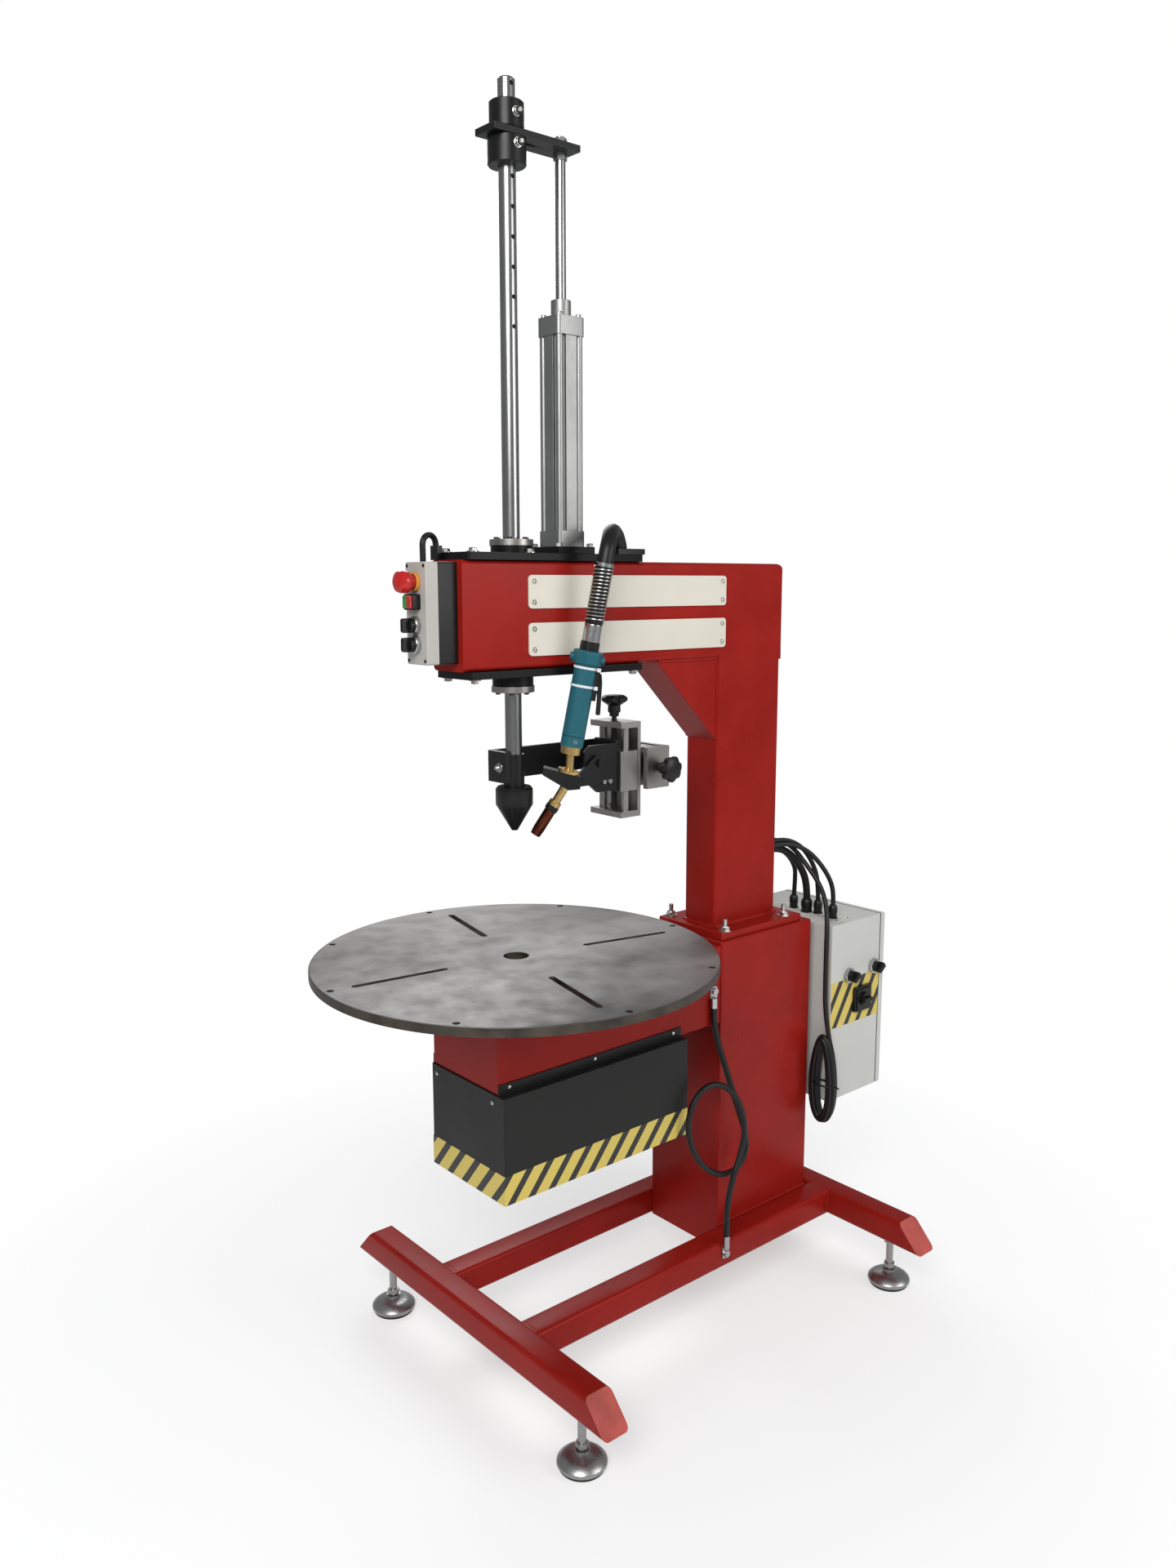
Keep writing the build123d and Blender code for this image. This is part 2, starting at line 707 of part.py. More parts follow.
def torch_neck():
    """The brass gooseneck with its seat flange, its upper collar and its lower ring."""
    flange = Pos(neck_seat[0] - 1.7, 0, neck_seat[1] - 6.8) * Rot(0, flange_tilt, 0) * Pos(0, 0, 3) * Cylinder(21.5, 6)
    collar = on_handle(Pos(0, 0, 3.5) * Cylinder(19.5, 15))
    ring = on_nozzle(Pos(0, 0, nozzle_length + 5) * Cylinder(12.3, 10))
    return in_torch_plane(neck_solid(neck_radius) + flange + collar + ring)


def torch_nozzle():
    """The copper gas nozzle and the black insulator above it."""
    profile = turned([(0, 0), (nozzle_radius - 1.2, 0), (nozzle_radius, 14), (nozzle_radius, nozzle_length - 9),
                      (nozzle_radius + 1, nozzle_length - 8), (nozzle_radius + 1, nozzle_length), (0, nozzle_length)])
    mouth = turned([(0, -1), (8, -1), (8, 18), (0, 18)]) - Cylinder(3, 60)
    return in_torch_plane(on_nozzle(profile - mouth))


def torch_handle():
    """The grip with its thicker head."""
    grip = extrude(Pos(0, 0, 11) * RectangleRounded(2 * handle_radius, 2 * handle_radius, 17), amount=160)
    head = extrude(Pos(0, 0, 170) * RegularPolygon(29, 8), amount=26)
    head = chamfer(head.faces().sort_by(Axis.Z)[-1].edges(), 3)
    return in_torch_plane(on_handle(grip + head))


def torch_fittings():
    """The black ring, steel sleeve and spring guard where the hose joins the grip, and the switch's housing."""
    guard = turned([(0, 196), (18.5, 196), (18.5, 212), (16.5, 213), (16.5, 246), (17, 248), (17, 361), (0, 361)])
    guard -= Pos(0, 0, 346) * Cylinder(hose_radius + running_clearance, 32)
    housing = block((14, 29), (-13, 13), (104, 158)) - block((22, 30), (-6.5, 6.5), (103, 159))
    housing -= extrude(RectangleRounded(2 * handle_radius, 2 * handle_radius, 17), amount=170)
    housing -= along_y(2.5 + running_clearance, (-14, 14), 26, 150)
    return group(in_torch_plane(on_handle(guard)), in_torch_plane(on_handle(housing)))


def torch_lever():
    """The lever along the grip, on its pivot pin in the switch's housing."""
    blade = prism_y(Polygon((23, 155), (32, 156), (36, 140), (43, 81), (40, 78), (34, 79), (31, 110), align=None), (-6, 6))
    pin = along_y(2.5, (-13, 13), 26, 150)
    return in_torch_plane(on_handle(blade + pin))


# Table and drive

def involute(base, radius):
    """The point of a base circle's involute at a given radius, as an angle and that radius."""
    slope = math.sqrt(max(radius ** 2 / base ** 2 - 1, 0))
    return slope - math.atan(slope)


def gear_outline(teeth, phase_degrees):
    """One spur gear outline: root arcs, involute flanks and tip arcs."""
    pitch = gear_module * teeth / 2
    base = pitch * math.cos(math.radians(pressure_angle))
    tip = pitch + gear_module * 0.95
    root = pitch - gear_module * 1.3
    half_tooth = (math.pi * gear_module / 2 - gear_backlash) / 2 / pitch + involute(base, pitch)
    start = max(base, root + 0.1)
    radii = [start + (tip - start) * step / 3 for step in range(4)]
    lines = []
    for index in range(teeth):
        middle = math.radians(phase_degrees) + 2 * math.pi * index / teeth
        left = [(r, middle - half_tooth + involute(base, r)) for r in radii]
        right = [(r, middle + half_tooth - involute(base, r)) for r in reversed(radii)]
        spot = [Vector(r * math.cos(a), r * math.sin(a)) for r, a in left + right]
        foot_in = Vector(root * math.cos(left[0][1]), root * math.sin(left[0][1]))
        foot_out = Vector(root * math.cos(right[-1][1]), root * math.sin(right[-1][1]))
        following = left[0][1] + 2 * math.pi / teeth
        next_foot = Vector(root * math.cos(following), root * math.sin(following))
        lines += [Line(foot_in, spot[0]), Spline(*spot[:4]), Line(spot[3], spot[4]), Spline(*spot[4:]),
                  Line(spot[7], foot_out), Line(foot_out, next_foot)]
    return make_face(lines)


def driven_gear():
    """The wheel on the table's shaft, lightened between hub and rim."""
    gear = extrude(Pos(0, 0, gear_top - gear_face) * gear_outline(gear_teeth, 90), amount=gear_face)
    recess = upright(66, (gear_top - 8, gear_top + 1)) - upright(42, (gear_top - 8, gear_top + 1))
    gear -= recess + Pos(0, 0, 8 - gear_face) * recess
    for turn in range(6):
        gear -= Rot(0, 0, 60 * turn) * upright(8, (gear_top - gear_face, gear_top), 54, 0)
    return gear - upright(table_shaft_radius - 8, (gear_top - gear_face - 1, gear_top + 1))


def drive_pinion():
    """The pinion on the gearmotor's output shaft."""
    half_pitch = 180 / pinion_teeth
    outline = gear_outline(pinion_teeth, -90 + half_pitch)
    pinion = extrude(Pos(0, gear_centres, gear_top - gear_face) * outline, amount=gear_face)
    return pinion + upright(10, (gear_top - gear_face - 40, gear_top + 4), 0, gear_centres)


def table_plate():
    """The round table with its centre bore, radial slots and rim holes."""
    plate = upright(table_radius, (table_under, table_top))
    plate = chamfer(plate.edges().sort_by(Axis.Z)[-1], 1.5)
    plate -= upright(table_bore_radius, (table_under - 1, table_top + 1))
    middle = (slot_inner + slot_outer) / 2
    slot = extrude(Pos(middle, 0, table_under - 1) * SlotOverall(slot_outer - slot_inner, slot_width),
                   amount=table_thickness + 2)
    for angle in slot_angles:
        plate -= Rot(0, 0, angle) * slot
    for step in range(table_hole_count):
        turn = Rot(0, 0, slot_angles[0] + 360 * step / table_hole_count)
        plate -= turn * upright(table_hole_radius, (table_under - 1, table_top + 1), table_hole_circle, 0)
    return plate


def table_shaft():
    """The hub flange under the table and the shaft down to the gear."""
    bottom = gear_top - gear_face - 6
    shaft = upright(hub_radius, (hub_bottom, table_under))
    shaft += upright(table_shaft_radius, (gear_top, hub_bottom))
    shaft += upright(table_shaft_radius - 8, (bottom, gear_top))
    return shaft - upright(12, (bottom - 1, table_under + 1))


def table_beam():
    """The box beam that carries the table, with holes for the shaft."""
    wall = pedestal_wall
    beam = block((-beam_half, beam_half), (beam_front, pedestal_front), (beam_bottom, beam_top))
    beam -= block((-beam_half + wall, beam_half - wall), (beam_front + wall, pedestal_front - wall),
                  (beam_bottom + wall, beam_top - wall))
    return beam - upright(table_shaft_radius + 10, (beam_bottom - 1, beam_top + 1))


def table_bearings():
    """A flanged bearing above and below the beam."""
    both = []
    for flange, spigot in (((beam_top, beam_top + bearing_height), (beam_top - pedestal_wall, beam_top)),
                           ((beam_bottom - bearing_height, beam_bottom), (beam_bottom, beam_bottom + pedestal_wall))):
        bearing = upright(bearing_radius, flange) + upright(table_shaft_radius + 10, spigot)
        low = min(flange[0], spigot[0]) - 1
        high = max(flange[1], spigot[1]) + 1
        both.append(bearing - upright(table_shaft_radius + running_clearance, (low, high)))
    return group(*both)


def gearmotor():
    """A worm gearmotor hung under the beam by two side plates."""
    gearbox_top = gear_top - gear_face - 5
    gearbox = block((-45, 45), (gear_centres - 45, gear_centres + 45), (gearbox_top - 90, gearbox_top))
    worm_case = along_y(34, (gear_centres + 45, gear_centres + 75), 0, gearbox_top - 45)
    motor = along_y(50, (gear_centres + 75, gear_centres + 215), 0, gearbox_top - 45)
    for step in range(12):
        turn = Pos(0, gear_centres + 75, gearbox_top - 45) * Rot(0, 30 * step, 0)
        motor += turn * block((-2, 2), (12, 120), (49, 56))
    body = gearbox + worm_case + motor
    for side in (-1, 1):
        hanger = sorted((side * 45, side * 53))
        body += block(hanger, (gear_centres + 2, gear_centres + 42), (gearbox_top - 60, beam_bottom))
    return body - upright(10 + running_clearance, (gearbox_top - 37, gearbox_top + 1), 0, gear_centres)


def drive_cover():
    """The folded sheet box under the beam, closed below, with inward and upward flanges."""
    sheet = cover_sheet
    y = (cover_front, cover_rear)
    outer = block(cover_x, y, (cover_bottom, beam_bottom - sheet))
    inner = block((cover_x[0] + sheet, cover_x[1] - sheet), (y[0] + sheet, y[1] - sheet),
                  (cover_bottom + sheet, beam_bottom + sheet))
    cover = outer - inner
    ledge = (beam_bottom - sheet, beam_bottom)
    cover += block((beam_half, cover_x[1]), y, ledge)
    cover += block((cover_x[0], -beam_half), y, ledge)
    cover += block(cover_x, (y[0], y[0] + 22), ledge)
    cover += block(cover_x, (y[1] - 22, y[1]), ledge)
    upstand = (beam_bottom, beam_bottom + cover_upstand)
    cover += block((beam_half, beam_half + sheet), (beam_front, y[1]), upstand)
    cover += block((-beam_half - sheet, -beam_half), (beam_front, y[1]), upstand)
    return cover


# Push-button box

def control_box_base():
    base = prism_y(Pos(0, (box_bottom + box_top) / 2) * RectangleRounded(2 * box_half, box_top - box_bottom, 4),
                   (box_base_front, arm_front))
    pocket = block((-box_half + box_wall, box_half - box_wall), (box_base_front - 1, arm_front - box_wall),
                   (box_bottom + box_wall, box_top - box_wall))
    return base - pocket


def control_box_cover():
    cover = prism_y(Pos(0, (box_bottom + box_top) / 2) * RectangleRounded(2 * box_half, box_top - box_bottom, 4),
                    (box_front, box_base_front))
    pocket = block((-box_half + box_wall, box_half - box_wall), (box_front + box_wall, box_base_front + 1),
                   (box_bottom + box_wall, box_top - box_wall))
    cover = chamfer(cover.faces().sort_by(Axis.Y)[0].edges(), 1.5) - pocket
    for z in (estop_z,) + selector_z:
        cover -= along_y(stem_radius + running_clearance, (box_front - 1, box_front + box_wall + 1), 0, z)
    return cover


def ring_y(outer, inner, y, z, x=0):
    return along_y(outer, y, x, z) - along_y(inner, (y[0] - 1, y[1] + 1), x, z)


def ring_x(outer, inner, x, y, z):
    return along_x(outer, x, y, z) - along_x(inner, (x[0] - 1, x[1] + 1), y, z)


def control_bezels():
    """The fixed collars round every button and knob, and the main switch's square plate."""
    collar = estop_stand_off - estop_travel - 0.5
    bezels = [ring_y(15, stem_radius + running_clearance, (box_front - collar, box_front), estop_z)]
    double = block((-15, 15), (box_front - 16, box_front), (start_stop_z - 14, start_stop_z + 14))
    double = fillet(double.edges().filter_by(Axis.Y), 4)
    for side in (-1, 1):
        low, high = sorted((side * 0.7, side * 12.3))
        double -= block((low, high), (box_front - 17, box_front + 1), (start_stop_z - 11.3, start_stop_z + 11.3))
    bezels.append(double)
    for z in selector_z:
        bezels.append(ring_y(14.5, stem_radius + running_clearance, (box_front - 9, box_front), z))
    face = cabinet_half
    for y, z in zip(cabinet_knob_y, cabinet_knob_z):
        bezels.append(ring_x(15, stem_radius + running_clearance, (face, face + 9), y, z))
    plate = block((face, face + 8), (main_switch_y - 31, main_switch_y + 31), (main_switch_z - 30, main_switch_z + 30))
    plate = fillet(plate.edges().filter_by(Axis.X), 5)
    bezels.append(plate - along_x(stem_radius + running_clearance, (face - 1, face + 9), main_switch_y, main_switch_z))
    return group(*bezels)


def estop_button():
    """The mushroom head on its stem."""
    head = turned([(0, 0), (13, 0), (13, 4), (18, 9), (20, 14), (20, 22), (18, 28), (12, 32), (0, 33)])
    stem = Pos(0, 0, -13) * Cylinder(stem_radius, 28)
    return Pos(0, box_front - estop_stand_off, estop_z) * Rot(90, 0, 0) * (head + Pos(0, 0, -1) * stem)


def push_button(side):
    """One half of the double button, in its own pocket of the bezel."""
    low, high = sorted((side * 1, side * 12))
    cap = block((low, high), (box_front - 21, box_front - 4), (start_stop_z - 11, start_stop_z + 11))
    return fillet(cap.faces().sort_by(Axis.Y)[0].edges(), 1.5)


def selector():
    """A turning knob with a bar grip, on the local Z axis."""
    knob = Pos(0, 0, 4) * Cylinder(stem_radius, 26) + Pos(0, 0, 14.5) * Cylinder(13, 9)
    grip = block((-4, 4), (-13, 13), (10.3, 31))
    return knob + fillet(grip.edges().filter_by(Axis.X), 5)


def box_selector(z):
    return Pos(0, box_front, z) * Rot(90, 0, 0) * selector()


def cabinet_selector(place):
    """A cabinet knob: its bar grip points down to the rear, as it was left."""
    y, z = place
    return Pos(cabinet_half, y, z) * Rot(0, 90, 0) * Rot(0, 0, 40) * selector()


def main_switch():
    """The handle of the main switch."""
    handle = Pos(0, 0, -6) * Cylinder(stem_radius, 29) + Pos(0, 0, 13) * Cylinder(16, 9)
    handle += block((-5, 5), (-15, 15), (10, 26))
    return Pos(cabinet_half, main_switch_y, main_switch_z) * Rot(0, 90, 0) * handle


# Cabinet

def cabinet_shell():
    """The open-backed sheet box, its wall rails to the pedestal, its hinge leaves and pins."""
    sheet = cabinet_sheet
    shell = block((-cabinet_half, cabinet_half), (cabinet_front, cabinet_rear), (cabinet_bottom, cabinet_top))
    shell -= block((-cabinet_half + sheet, cabinet_half - sheet), (cabinet_front + sheet, cabinet_rear + 1),
                   (cabinet_bottom + sheet, cabinet_top - sheet))
    for z in (470, 720):
        shell += block((-80, 80), (pedestal_rear, cabinet_front), (z, z + 30))
    for x, y, cable in gland_places:
        shell -= upright(cable + 2.5, (cabinet_top - sheet - 1, cabinet_top + 1), x, y)
    for y, z in list(zip(cabinet_knob_y, cabinet_knob_z)) + [(main_switch_y, main_switch_z)]:
        shell -= along_x(stem_radius + 1, (cabinet_half - sheet - 1, cabinet_half + 1), y, z)
    for z in hinge_z:
        shell += upright(hinge_radius, (z, z + 20), hinge_x, cabinet_rear)
        shell += block((hinge_x, -cabinet_half + 1), (cabinet_rear - 4, cabinet_rear - 1), (z, z + 20))
        shell += upright(hinge_pin_radius, (z + 20, z + 38), hinge_x, cabinet_rear)
    return shell


def cabinet_door():
    """The shallow pan door with its hinge knuckles and lock boss."""
    sheet = cabinet_sheet
    near = cabinet_rear + door_gap
    door = block((-cabinet_half, cabinet_half), (near, door_rear), (cabinet_bottom, cabinet_top))
    door -= block((-cabinet_half + sheet, cabinet_half - sheet), (near - 1, door_rear - sheet),
                  (cabinet_bottom + sheet, cabinet_top - sheet))
    for z in hinge_z:
        knuckle = upright(hinge_radius, (z + 20.3, z + 40), hinge_x, cabinet_rear)
        knuckle += block((hinge_x, -cabinet_half + sheet), (cabinet_rear + 2, cabinet_rear + 5), (z + 20.3, z + 40))
        door += knuckle - upright(hinge_pin_radius + running_clearance, (z + 19, z + 41), hinge_x, cabinet_rear)
    return door + along_y(11, (door_rear - sheet - 10, door_rear + 2), cabinet_half - 24,
                          (cabinet_bottom + cabinet_top) / 2)


def cabinet_gear():
    """The mounting plate with its drive, contactors, transformer and terminals."""
    floor = cabinet_front + cabinet_sheet
    low = cabinet_bottom + 24
    plate = block((-130, 130), (floor, floor + 3), (low, cabinet_top - 22))
    face = floor + 3
    drive = block((-115, -35), (face, face + 110), (low + 210, low + 360))
    transformer = block((30, 115), (face, face + 80), (low + 20, low + 100))
    pieces = [plate, drive, transformer]
    for step in range(4):
        left = -10 + step * 32
        pieces.append(block((left, left + 29), (face, face + 75), (low + 240, low + 320)))
    pieces.append(block((-115, 5), (face, face + 45), (low + 30, low + 80)))
    pieces.append(block((-120, 120), (face, face + 40), (low + 150, low + 180)))
    return group(*pieces)


def cable_gland(x, y, cable):
    """A gland with its nut and dome, to suit one cable."""
    wide = cable + 5
    body = turned([(0, cabinet_top), (wide + 1, cabinet_top), (wide + 1, cabinet_top + 4), (wide - 1, cabinet_top + 5),
                   (wide - 1, cabinet_top + 14), (wide, cabinet_top + 15), (wide, cabinet_top + 27),
                   (cable + 2.5, cabinet_top + 33), (0, cabinet_top + 33)])
    spigot = upright(cable + 2.5, (cabinet_top - 8, cabinet_top + 1))
    return Pos(x, y, 0) * (body + spigot - upright(cable, (cabinet_top - 9, cabinet_top + 34)))


# Plates, blocks and lugs

def nameplates():
    """Two bare plates with rounded corners on the arm's side."""
    plates = []
    for rise in nameplate_rises:
        outline = Pos((nameplate_y[0] + nameplate_y[1]) / 2, arm_bottom + rise + nameplate_height / 2)
        outline = outline * RectangleRounded(nameplate_y[1] - nameplate_y[0], nameplate_height, 8)
        plates.append(prism_x(outline, (column_half, column_half + nameplate_thickness)))
    return group(*plates)


def cable_blocks():
    """The block that takes the torch's hose into the arm, and the clip of the box's cable."""
    anchor = soft_block((8, 56), (216, 291), (plate_top, plate_top + 11), 5)
    clip = soft_block((-48, -26), (arm_front - 3, arm_plate_front), (arm_top, arm_top + 26), 2)
    return anchor, clip


def earth_lugs():
    """A crimped lug at each end of the earth cable, bolted flat to the frame."""
    top_x = beam_half
    top_y, top_z = top_lug_hole
    palm = soft_block_x((top_x, top_x + 3), (top_y - 10, top_y + 10), (top_z - 19, top_z + 10))
    palm -= along_x(4, (top_x - 1, top_x + 4), top_y, top_z)
    barrel = upright(earth_radius + 1, (top_z - 35, top_z - 13), top_x + earth_radius + 1.5, top_y - 5)
    low_x = beam_centre_x + tube / 2
    low_y, low_z = low_lug_hole
    low_palm = soft_block_x((low_x, low_x + 3), (low_y - 10, low_y + 10), (low_z - 11, low_z + 21))
    low_palm -= along_x(4, (low_x - 1, low_x + 4), low_y, low_z)
    low_barrel = upright(earth_radius + 1, (low_z + 17, low_z + 45), low_x + earth_radius + 1.5, low_y - 4)
    bolts = [along_x(4, (top_x, top_x + 3), top_y, top_z) + along_x(7.5, (top_x + 3, top_x + 9), top_y, top_z),
             along_x(4, (low_x, low_x + 3), low_y, low_z) + along_x(7.5, (low_x + 3, low_x + 9), low_y, low_z)]
    return group(palm + barrel, low_palm + low_barrel, *bolts)


def soft_block_x(x, y, z):
    """A plate facing X with rounded corners."""
    outline = Pos((y[0] + y[1]) / 2, (z[0] + z[1]) / 2) * RectangleRounded(y[1] - y[0], z[1] - z[0], 5)
    return prism_x(outline, x)


# Cords

earth_route = [(115, 443, 690), (115, 443, 664), (118, 448, 630), (122, 456, 596), (128, 467, 556), (134, 479, 512),
               (141, 495, 458), (148, 512, 404), (153, 515, 360), (156, 489, 325), (158, 435, 322),
               (156, 378, 356), (152, 342, 411), (149, 332, 465), (150, 345, 510), (152, 372, 537),
               (157, 409, 541), (163, 445, 522), (168, 475, 478), (172, 488, 425), (174, 476, 378),
               (176, 450, 330), (176, 433, 282), (175, 430, 236), (175, 430, 192)]

lead_route = [(8, 712, 1004), (12, 750, 1003), (27, 789, 985), (57, 806, 944), (97, 812, 900), (124, 803, 860),
              (139, 790, 815), (146, 780, 760), (148, 778, 690), (149, 778, 620), (149, 778, 559)]

bundle_routes = [[(-8, 712, 986), (-6, 750, 988), (2, 798, 964), (2, 834, 926), (-12, 853, 888), (-18, 857, 845)],
                 [(20, 712, 984), (21, 748, 985), (24, 794, 962), (27, 830, 922), (28, 848, 883), (27, 851, 845)],
                 [(26, 712, 1002), (33, 752, 1008), (48, 802, 985), (52, 840, 938), (55, 857, 893), (54, 860, 845)],
                 [(38, 712, 996), (44, 752, 999), (62, 800, 980), (78, 833, 945), (97, 850, 905), (105, 853, 872),
                  (105, 852, 845)]]

hose_route = [(109.1, 128.7, 1598.5), (114.4, 134.9, 1642.7), (106, 150, 1672), (88, 170, 1689), (66, 197, 1690),
              (49, 221, 1679), (38, 236, 1661)]

control_route = [(-27, -178, 1630), (-27, -178, 1648), (-26.6, -178.6, 1665), (-28.5, -173.2, 1673.6),
                 (-31, -165, 1678.6), (-34, -155.5, 1678.6), (-36.5, -147.3, 1673.6), (-38, -142.5, 1665),
                 (-38, -142.5, 1656)]


def cable_coil():
    """The tied hank of the supply lead: an upright oval ring."""
    x, y, z = coil_centre
    half = coil_straight / 2
    top = (x, y, z + half + coil_bend)
    bottom = (x, y, z - half - coil_bend)
    right = Line((x + coil_bend, y, z - half), (x + coil_bend, y, z + half))
    over = ThreePointArc((x + coil_bend, y, z + half), top, (x - coil_bend, y, z + half))
    left = Line((x - coil_bend, y, z + half), (x - coil_bend, y, z - half))
    under = ThreePointArc((x - coil_bend, y, z - half), bottom, (x + coil_bend, y, z - half))
    path = Wire([edge for part in (right, over, left, under) for edge in part.edges()])
    profile = Plane(origin=(x + coil_bend, y, z - half), z_dir=(0, 0, 1)) * Circle(coil_radius)
    return sweep(profile, path=path)


def build():
    """Every sub-part by its node name."""
    feet = [(x, y) for x in (-foot_x, foot_x) for y in (front_leg_y, rear_leg_y)]
    hose = cord("torch_hose", hose_route, hose_radius)
    control_cable = cord("control_cable", control_route, control_radius)
    anchor, clip = cable_blocks()
    coil = cable_coil()
    cables = [cord("cabinet_cable", route, place[2]) for route, place in zip(bundle_routes, gland_places)]
    return {
        "cross_legs": group(cross_leg(front_leg_y), cross_leg(rear_leg_y)),
        "base_beams": group(base_beam(-1), base_beam(1)),
        "levelling_feet": group(*[levelling_foot(x, y) for x, y in feet]),
        "foot_rubbers": group(*[foot_rubber(x, y) for x, y in feet]),
        "pedestal": pedestal(),
        "column": column(),
        "arm": arm(),
        "arm_plates": arm_plates(),
        "quill_bushes": quill_bushes(),
        "cylinder_body": cylinder_body(),
        "table_beam": table_beam(),
        "table_bearings": table_bearings(),
        "gearmotor": gearmotor(),
        "drive_cover": drive_cover(),
        "control_box_base": control_box_base(),
        "control_box_cover": control_box_cover(),
        "control_bezels": control_bezels(),
        "cabinet_shell": cabinet_shell(),
        "cabinet_gear": cabinet_gear(),
        "cable_glands": group(*[cable_gland(*place) for place in gland_places]),
        "nameplates": nameplates(),
        "hose_anchor": group(anchor - hose, clip - control_cable),
        "earth_lugs": earth_lugs(),
        "earth_cable": cord("earth_cable", earth_route, earth_radius),
        "cabinet_cables": group(*cables),
        "coil_lead": cord("coil_lead", lead_route, lead_radius) - coil,
        "cable_coil": coil,
        "control_cable": control_cable,
        "torch_hose": hose,
        "table_plate": table_plate(),
        "table_shaft": table_shaft(),
        "driven_gear": driven_gear(),
        "drive_pinion": drive_pinion(),
        "quill_shaft": quill_shaft(),
        "cross_head": cross_head(),
        "piston_rod": piston_rod(),
        "torch_arm": torch_arm(),
        "live_centre": live_centre(),
        "cross_slide_frame": cross_slide_frame(),
        "cross_carriage": cross_carriage(),
        "cross_screw": cross_screw(),
        "lift_slide_frame": lift_slide_frame(),
        "lift_carriage": lift_carriage(),
        "lift_screw": lift_screw(),
        "torch_bracket": torch_bracket(),
        "torch_clamp": torch_clamp(),
        "torch_neck": torch_neck(),
        "torch_nozzle": torch_nozzle(),
        "torch_handle": torch_handle(),
        "torch_fittings": torch_fittings(),
        "torch_lever": torch_lever(),
        "estop_button": estop_button(),
        "start_button": push_button(-1),
        "stop_button": push_button(1),
        "selector_upper": box_selector(selector_z[0]),
        "selector_lower": box_selector(selector_z[1]),
        "cabinet_knob_front": cabinet_selector((cabinet_knob_y[0], cabinet_knob_z[0])),
        "cabinet_knob_rear": cabinet_selector((cabinet_knob_y[1], cabinet_knob_z[1])),
        "main_switch": main_switch(),
        "cabinet_door": cabinet_door(),
    }


os.makedirs("parts", exist_ok=True)
to_origin = Pos(0, -origin_y, 0)
print("origin_y", origin_y)
for node, shape in build().items():
    export_step(to_origin * shape, f"parts/{node}.step")
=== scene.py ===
import json
import math
import random

import bmesh
import bpy
from mathutils import Matrix, Vector

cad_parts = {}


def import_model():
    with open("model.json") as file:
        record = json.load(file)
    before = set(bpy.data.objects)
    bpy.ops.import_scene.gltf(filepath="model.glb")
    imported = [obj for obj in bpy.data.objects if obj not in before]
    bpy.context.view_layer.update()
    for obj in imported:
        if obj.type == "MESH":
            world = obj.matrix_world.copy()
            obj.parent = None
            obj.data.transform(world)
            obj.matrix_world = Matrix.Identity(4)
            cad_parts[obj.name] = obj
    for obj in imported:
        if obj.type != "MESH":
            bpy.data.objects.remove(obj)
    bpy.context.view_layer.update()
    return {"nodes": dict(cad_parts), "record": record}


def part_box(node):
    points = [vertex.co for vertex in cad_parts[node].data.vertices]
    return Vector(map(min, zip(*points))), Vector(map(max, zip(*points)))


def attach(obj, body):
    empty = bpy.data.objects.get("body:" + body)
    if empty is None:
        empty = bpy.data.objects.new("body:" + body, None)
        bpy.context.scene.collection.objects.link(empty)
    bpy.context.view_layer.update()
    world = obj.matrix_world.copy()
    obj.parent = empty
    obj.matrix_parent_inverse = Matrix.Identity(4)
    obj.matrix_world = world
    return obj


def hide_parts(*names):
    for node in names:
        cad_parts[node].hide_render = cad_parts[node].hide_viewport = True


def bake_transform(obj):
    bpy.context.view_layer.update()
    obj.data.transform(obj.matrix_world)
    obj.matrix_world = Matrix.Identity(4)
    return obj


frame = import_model()

# Where the spindle and the torch stand: angles, and millimetres from the spindle and above the floor
shaft_low, shaft_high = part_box("quill_shaft")
spindle_y = (shaft_low.y + shaft_high.y) / 2
plane_angle = math.radians(49.7)
handle_base = (108.6, 1274)
handle_tilt = math.radians(10.5)
nozzle_tip = (39.6, 1112.4)
nozzle_tilt = math.radians(32)
millimetres = Matrix.Diagonal((0.001, 0.001, 0.001, 1))


def at(x, y, z):
    """A point in the shared frame from millimetres about the spindle's axis at floor level."""
    return Vector((x / 1000, spindle_y + y / 1000, z / 1000))


def turn_to(direction, roll=0.0):
    """A rotation that takes +Z to the given direction."""
    return Vector(direction).to_track_quat("Z", "Y").to_matrix().to_4x4() @ Matrix.Rotation(roll, 4, "Z")


def placed(x, y, z, direction=(0, 0, 1), roll=0.0):
    """The matrix of a local frame in millimetres, with its base at the given place."""
    return Matrix.Translation(at(x, y, z)) @ turn_to(direction, roll) @ millimetres


def torch_frame(base, tilt):
    """A local frame in the torch's plane. Its base is the distance from the spindle and the height."""
    out, up = base
    place = at(out * math.cos(plane_angle), out * math.sin(plane_angle), up)
    turn = Matrix.Rotation(plane_angle, 4, "Z") @ Matrix.Rotation(tilt, 4, "Y")
    return Matrix.Translation(place) @ turn @ millimetres


def on_handle():
    """The matrix of the torch's grip: +Z runs up the grip and +X points away from the spindle."""
    return torch_frame(handle_base, handle_tilt)


def on_nozzle():
    """The matrix of the torch's nozzle: +Z runs up from its tip."""
    return torch_frame(nozzle_tip, nozzle_tilt)


# Materials

